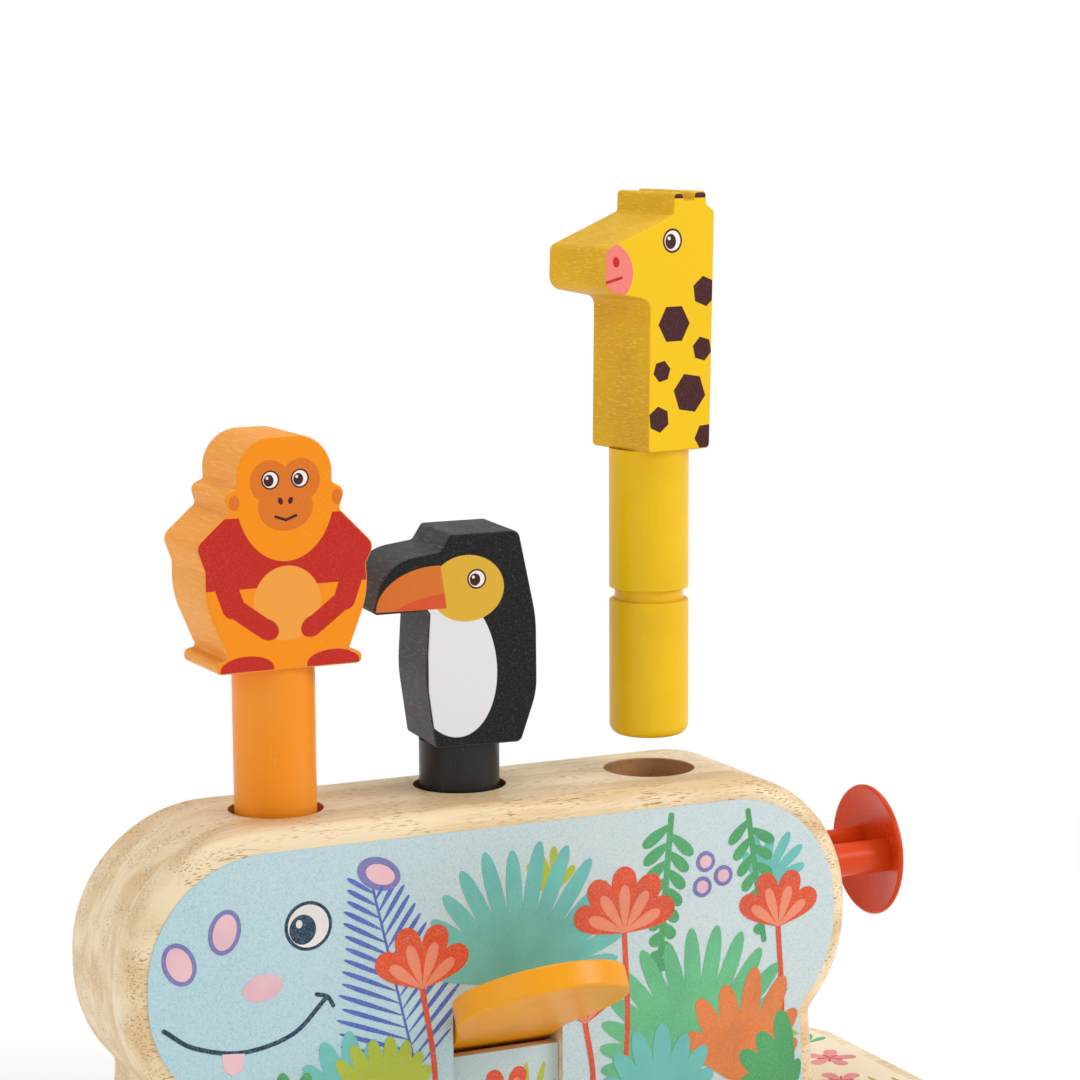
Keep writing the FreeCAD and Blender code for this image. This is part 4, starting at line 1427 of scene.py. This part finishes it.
@dataclass
class Monkey(Figure):
    """The monkey, with a face patch, a jersey, folded arms and feet."""

    def prints(self) -> list[Any]:
        """A round face patch over a rust jersey, with arms held to the belly.

        Returns:
            The shapes.
        """
        shapes = [
            lambda c: (c.beyond(0.0, 22.0, 90.0) * (1.0 - c.beyond(0.0, 40.5, 90.0)), Paint.RUST),
            lambda c: (c.ellipse(-0.6, 46.0, 13.6, 17.5), Paint.ORANGE),
            lambda c: (c.ellipse(-0.6, 17.5, 9.4, 9.8), Paint.ORANGE_SIDE),
        ]
        for side in (-1.0, 1.0):
            shapes += self.arm(side) + self.foot(side) + self.ear(side)
        shapes += [
            lambda c: (c.ellipse(-4.9, 49.4, 5.4, 5.6), Paint.FACE),
            lambda c: (c.ellipse(3.7, 49.4, 5.4, 5.6), Paint.FACE),
            lambda c: (c.ellipse(-0.6, 42.6, 7.6, 6.2), Paint.FACE),
            lambda c: (c.ellipse(-2.0, 44.2, 0.65, 0.95, 20.0), Paint.BROWN),
            lambda c: (c.ellipse(0.8, 44.2, 0.65, 0.95, -20.0), Paint.BROWN),
            lambda c: (c.stroke((-3.4, 40.2), (-0.6, 39.2), 0.38), Paint.BROWN),
            lambda c: (c.stroke((-0.6, 39.2), (2.2, 40.2), 0.38), Paint.BROWN),
        ]
        return shapes + self.eye(-4.7, 49.8, 2.5, Paint.BROWN) + self.eye(3.5, 49.8, 2.5, Paint.BROWN)

    @staticmethod
    def arm(side: float) -> list[Any]:
        """One arm from the shoulder to a mitten on the belly.

        Args:
            side: -1 for the left arm and 1 for the right one.

        Returns:
            The shapes.
        """
        return [
            lambda c: (c.stroke((side * 19.6, 29.0), (side * 15.5, 17.5), 3.1), Paint.RUST),
            lambda c: (c.stroke((side * 15.5, 17.5), (side * 8.0, 12.0), 2.6), Paint.RUST),
            lambda c: (c.ellipse(side * 6.4, 11.0, 3.5, 2.7, side * 30.0), Paint.RUST),
        ]

    @staticmethod
    def foot(side: float) -> list[Any]:
        """One foot along the bottom edge."""
        return [lambda c: (c.ellipse(side * 12.0, 1.0, 7.4, 3.4), Paint.RUST)]

    @staticmethod
    def ear(side: float) -> list[Any]:
        """The inside of one ear."""
        return [lambda c: (c.ellipse(side * 14.2 - 0.5, 44.4, 1.5, 2.0), Paint.FACE)]


@dataclass
class Toucan(Figure):
    """The toucan, with a two-tone beak, a yellow cheek and a pale breast."""

    def prints(self) -> list[Any]:
        """A beak up to the cheek, the cheek round the eye and the breast below it.

        Returns:
            The shapes.
        """
        shapes = [
            lambda c: (c.ellipse(-6.0, 22.5, 12.6, 20.0, 8.0) * c.beyond(-12.6, 20.0, 0.0), Paint.BREAST),
            lambda c: (c.ellipse(-1.5, 43.0, 10.4, 9.0), Paint.CHEEK),
            lambda c: (self.beak(c) * c.ellipse(-10.0, 37.0, 17.4, 12.6), Paint.BEAK),
            lambda c: (self.beak(c) * c.ellipse(-8.0, 33.4, 19.0, 8.6, 6.0), Paint.BEAK_RED),
        ]
        return shapes + self.eye(1.2, 45.4, 2.7, Paint.BROWN)

    @staticmethod
    def beak(chart: Chart) -> Value:
        """A mask that is 1 in front of the cheek and above the beak's lower edge."""
        return (1.0 - chart.beyond(-7.6, 40.0, 8.0)) * chart.beyond(0.0, 37.9, 90.0)


@dataclass
class Giraffe(Figure):
    """The giraffe, with dark spots and a pink muzzle."""

    def prints(self) -> list[Any]:
        """Six-sided spots down the neck, horn tips and a muzzle with its nostril and smile.

        Returns:
            The shapes.
        """
        spots = ((9.4, 43.0, 4.2, 8.0), (-1.2, 34.6, 5.4, 30.0), (8.6, 27.4, 3.4, 14.0),
                 (-5.4, 22.0, 3.0, 42.0), (4.2, 15.6, 5.6, 20.0), (-6.4, 9.0, 3.6, 5.0),
                 (9.8, 3.2, 3.8, 33.0))
        shapes = [self.spot(*spot) for spot in spots]
        shapes += [
            lambda c: (c.ellipse(-24.5, 49.0, 9.2, 8.6), Paint.PINK),
            lambda c: (c.ellipse(-21.0, 52.0, 1.1, 1.4, 12.0), Paint.RUST),
            lambda c: (c.stroke((-24.6, 46.6), (-19.2, 47.8), 0.4), Paint.RUST),
            lambda c: (c.beyond(0.0, 68.2, 90.0), Paint.BROWN),
        ]
        return shapes + self.eye(-1.8, 57.0, 3.3, Paint.BROWN)

    @staticmethod
    def spot(x: float, y: float, radius: float, lean: float) -> Any:
        """One six-sided spot."""
        return lambda c: (c.hexagon(x, y, radius, lean), Paint.BROWN)


@dataclass
class Mechanism:
    """The lever, the knob and what works inside the hippo."""

    def build(self) -> None:
        """Dress the moving and hidden pieces."""
        lever = SatinPaint("lever_paint", Paint.AMBER, Paint.AMBER_SIDE, grain=(90.0, 2400.0, 2400.0))
        dress(lever.build(), "lever_paddle")
        knob = SatinPaint("knob_paint", Paint.KNOB_RED, Paint.KNOB_SHADE, grain=(2400.0, 160.0, 2400.0),
                          rough=0.28)
        dress(knob.build(), "knob_disc")
        rods = SatinPaint("rod_paint", Paint.KNOB_RED, Paint.KNOB_SHADE, grain=(120.0, 2400.0, 2400.0),
                          rough=0.32)
        dress(rods.build(), "knob_front_rod", "knob_rear_rod")
        bare = BareWood("bare_wood").build()
        dress(bare, "knob_crosshead", "monkey_plunger", "toucan_lifter", "giraffe_plunger")
        dress(Felt().build(), "monkey_pad", "toucan_pad", "giraffe_pad")
        plated = Steel("plated_steel", "C9C9CC").build()
        dress(plated, "base_screws", "latch_cover_screws", "lever_pivot_pin")
        dress(Steel("spring_steel", "A2A2A6", 0.36).build(), "monkey_spring", "giraffe_spring", "knob_spring",
              "latch_clip")


@dataclass
class Studio:
    """The pale floor, the soft lights and the camera at the photograph's angle."""

    camera_place: tuple[float, float, float] = (-0.3571, -0.7938, 0.2996)
    bearing: float = 25.48
    height_angle: float = 9.543
    roll: float = -0.344
    lens: float = 109.0
    shift: Point = (0.0033, 0.0663)
    sensor: float = 36.0
    aim: Vector = field(default_factory=lambda: Vector((0.0, 0.0, 0.12)))
    floor_size: float = 9.0
    floor_fade: tuple[float, float] = (0.14, 0.48)
    ambient: float = 0.50

    def floor(self) -> None:
        """A large pale floor that fades into a plain white glow far from the toy."""
        mesh = bpy.data.meshes.new("studio_floor")
        work = bmesh.new()
        bmesh.ops.create_grid(work, x_segments=2, y_segments=2, size=self.floor_size / 2)
        work.to_mesh(mesh)
        work.free()
        made = bpy.data.objects.new("studio_floor", mesh)
        bpy.context.scene.collection.objects.link(made)
        s = Surface("studio_paper")
        x, y, _ = s.axes()
        mottle = s.noise(s.stretched((6.0, 6.0, 6.0)), 2.0)
        s.finish(s.mix(mottle, colour("F6F6F6"), colour("FCFCFC")), 0.9, mottle, 0.01)
        away = (x * x + y * y).root() * MM
        glow = s.node("ShaderNodeEmission", {}, {"Color": (1.0, 1.0, 1.0, 1.0), "Strength": 1.0})
        blend = s.node("ShaderNodeMixShader", {}, {0: away.rise(*self.floor_fade)})
        s.tree.links.new(s.shader.outputs[0], blend.inputs[1])
        s.tree.links.new(glow.outputs[0], blend.inputs[2])
        output = next(n for n in s.tree.nodes if n.type == "OUTPUT_MATERIAL")
        s.tree.links.new(blend.outputs[0], output.inputs[0])
        mesh.materials.append(s.material)

    def light(self, name: str, place: Sequence[float], size: float, power: float, tint: str) -> None:
        """Add one soft square light that looks at the toy.

        Args:
            name: The light's name.
            place: Where it stands, in metres.
            size: Its side.
            power: Its power in watts.
            tint: Its colour.
        """
        lamp = bpy.data.lights.new(name, "AREA")
        lamp.shape = "SQUARE"
        lamp.size = size
        lamp.energy = power
        lamp.color = colour(tint)[:3]
        made = bpy.data.objects.new(name, lamp)
        made.location = place
        aim = self.aim - Vector(place)
        made.rotation_euler = aim.to_track_quat("-Z", "Y").to_euler()
        bpy.context.scene.collection.objects.link(made)

    def camera(self) -> None:
        """Set the camera by its bearing, height and roll."""
        lens = bpy.data.cameras.new("photo_camera")
        lens.lens = self.lens
        lens.sensor_width = self.sensor
        lens.shift_x, lens.shift_y = self.shift
        made = bpy.data.objects.new("photo_camera", lens)
        phi, rise, roll = (math.radians(a) for a in (self.bearing, self.height_angle, self.roll))
        back = Vector((-math.sin(phi) * math.cos(rise), -math.cos(phi) * math.cos(rise), math.sin(rise)))
        level = Vector((math.cos(phi), -math.sin(phi), 0.0))
        tall = Vector((math.sin(phi) * math.sin(rise), math.cos(phi) * math.sin(rise), math.cos(rise)))
        right = level * math.cos(roll) + tall * math.sin(roll)
        up = tall * math.cos(roll) - level * math.sin(roll)
        turn = Matrix((right, up, back)).transposed().to_4x4()
        made.matrix_world = Matrix.Translation(Vector(self.camera_place)) @ turn
        bpy.context.scene.collection.objects.link(made)
        bpy.context.scene.camera = made

    def build(self) -> None:
        """Set the stage."""
        self.camera()
        self.floor()
        self.light("key_light", (1.3, -0.9, 1.0), 0.8, 15.0, "FFFCF7")
        self.light("left_light", (-1.5, -0.5, 0.8), 1.2, 6.5, "FAFCFF")
        self.light("top_light", (0.1, 0.35, 1.7), 1.2, 12.0, "FFFFFF")
        world = bpy.data.worlds.new("studio_air")
        world.use_nodes = True
        bpy.context.scene.world = world
        air = Graph(world.node_tree)
        sky = world.node_tree.nodes["Background"]
        sky.inputs["Color"].default_value = (1.0, 1.0, 1.0, 1.0)
        path = air.node("ShaderNodeLightPath")
        seen = Value(air, path.outputs["Is Camera Ray"])
        air.feed(sky.inputs["Strength"], seen * (1.0 - self.ambient) + self.ambient)
        bpy.context.scene.view_settings.view_transform = "Standard"


def main() -> None:
    """Build the stage and every sub-assembly in order."""
    logging.basicConfig(level=logging.INFO, format="%(name)s: %(message)s")
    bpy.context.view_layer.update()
    fans, rows = FanTree(), RowTree()
    assemblies = [
        Studio(),
        HippoBlock(fans, rows),
        BaseBoard(fans, rows),
        Mechanism(),
        Monkey("monkey", Paint.ORANGE, Paint.ORANGE_SIDE, "FFD08A", 0.7),
        Toucan("toucan", Paint.BLACK, Paint.CHARCOAL, "77777A", -5.3, 0.6),
        Giraffe("giraffe", Paint.YELLOW, Paint.YELLOW_SIDE, "F6D868", 11.0),
    ]
    for assembly in assemblies:
        assembly.build()
        LOG.info("%s is built", type(assembly).__name__)


if __name__ == "__main__":
    main()
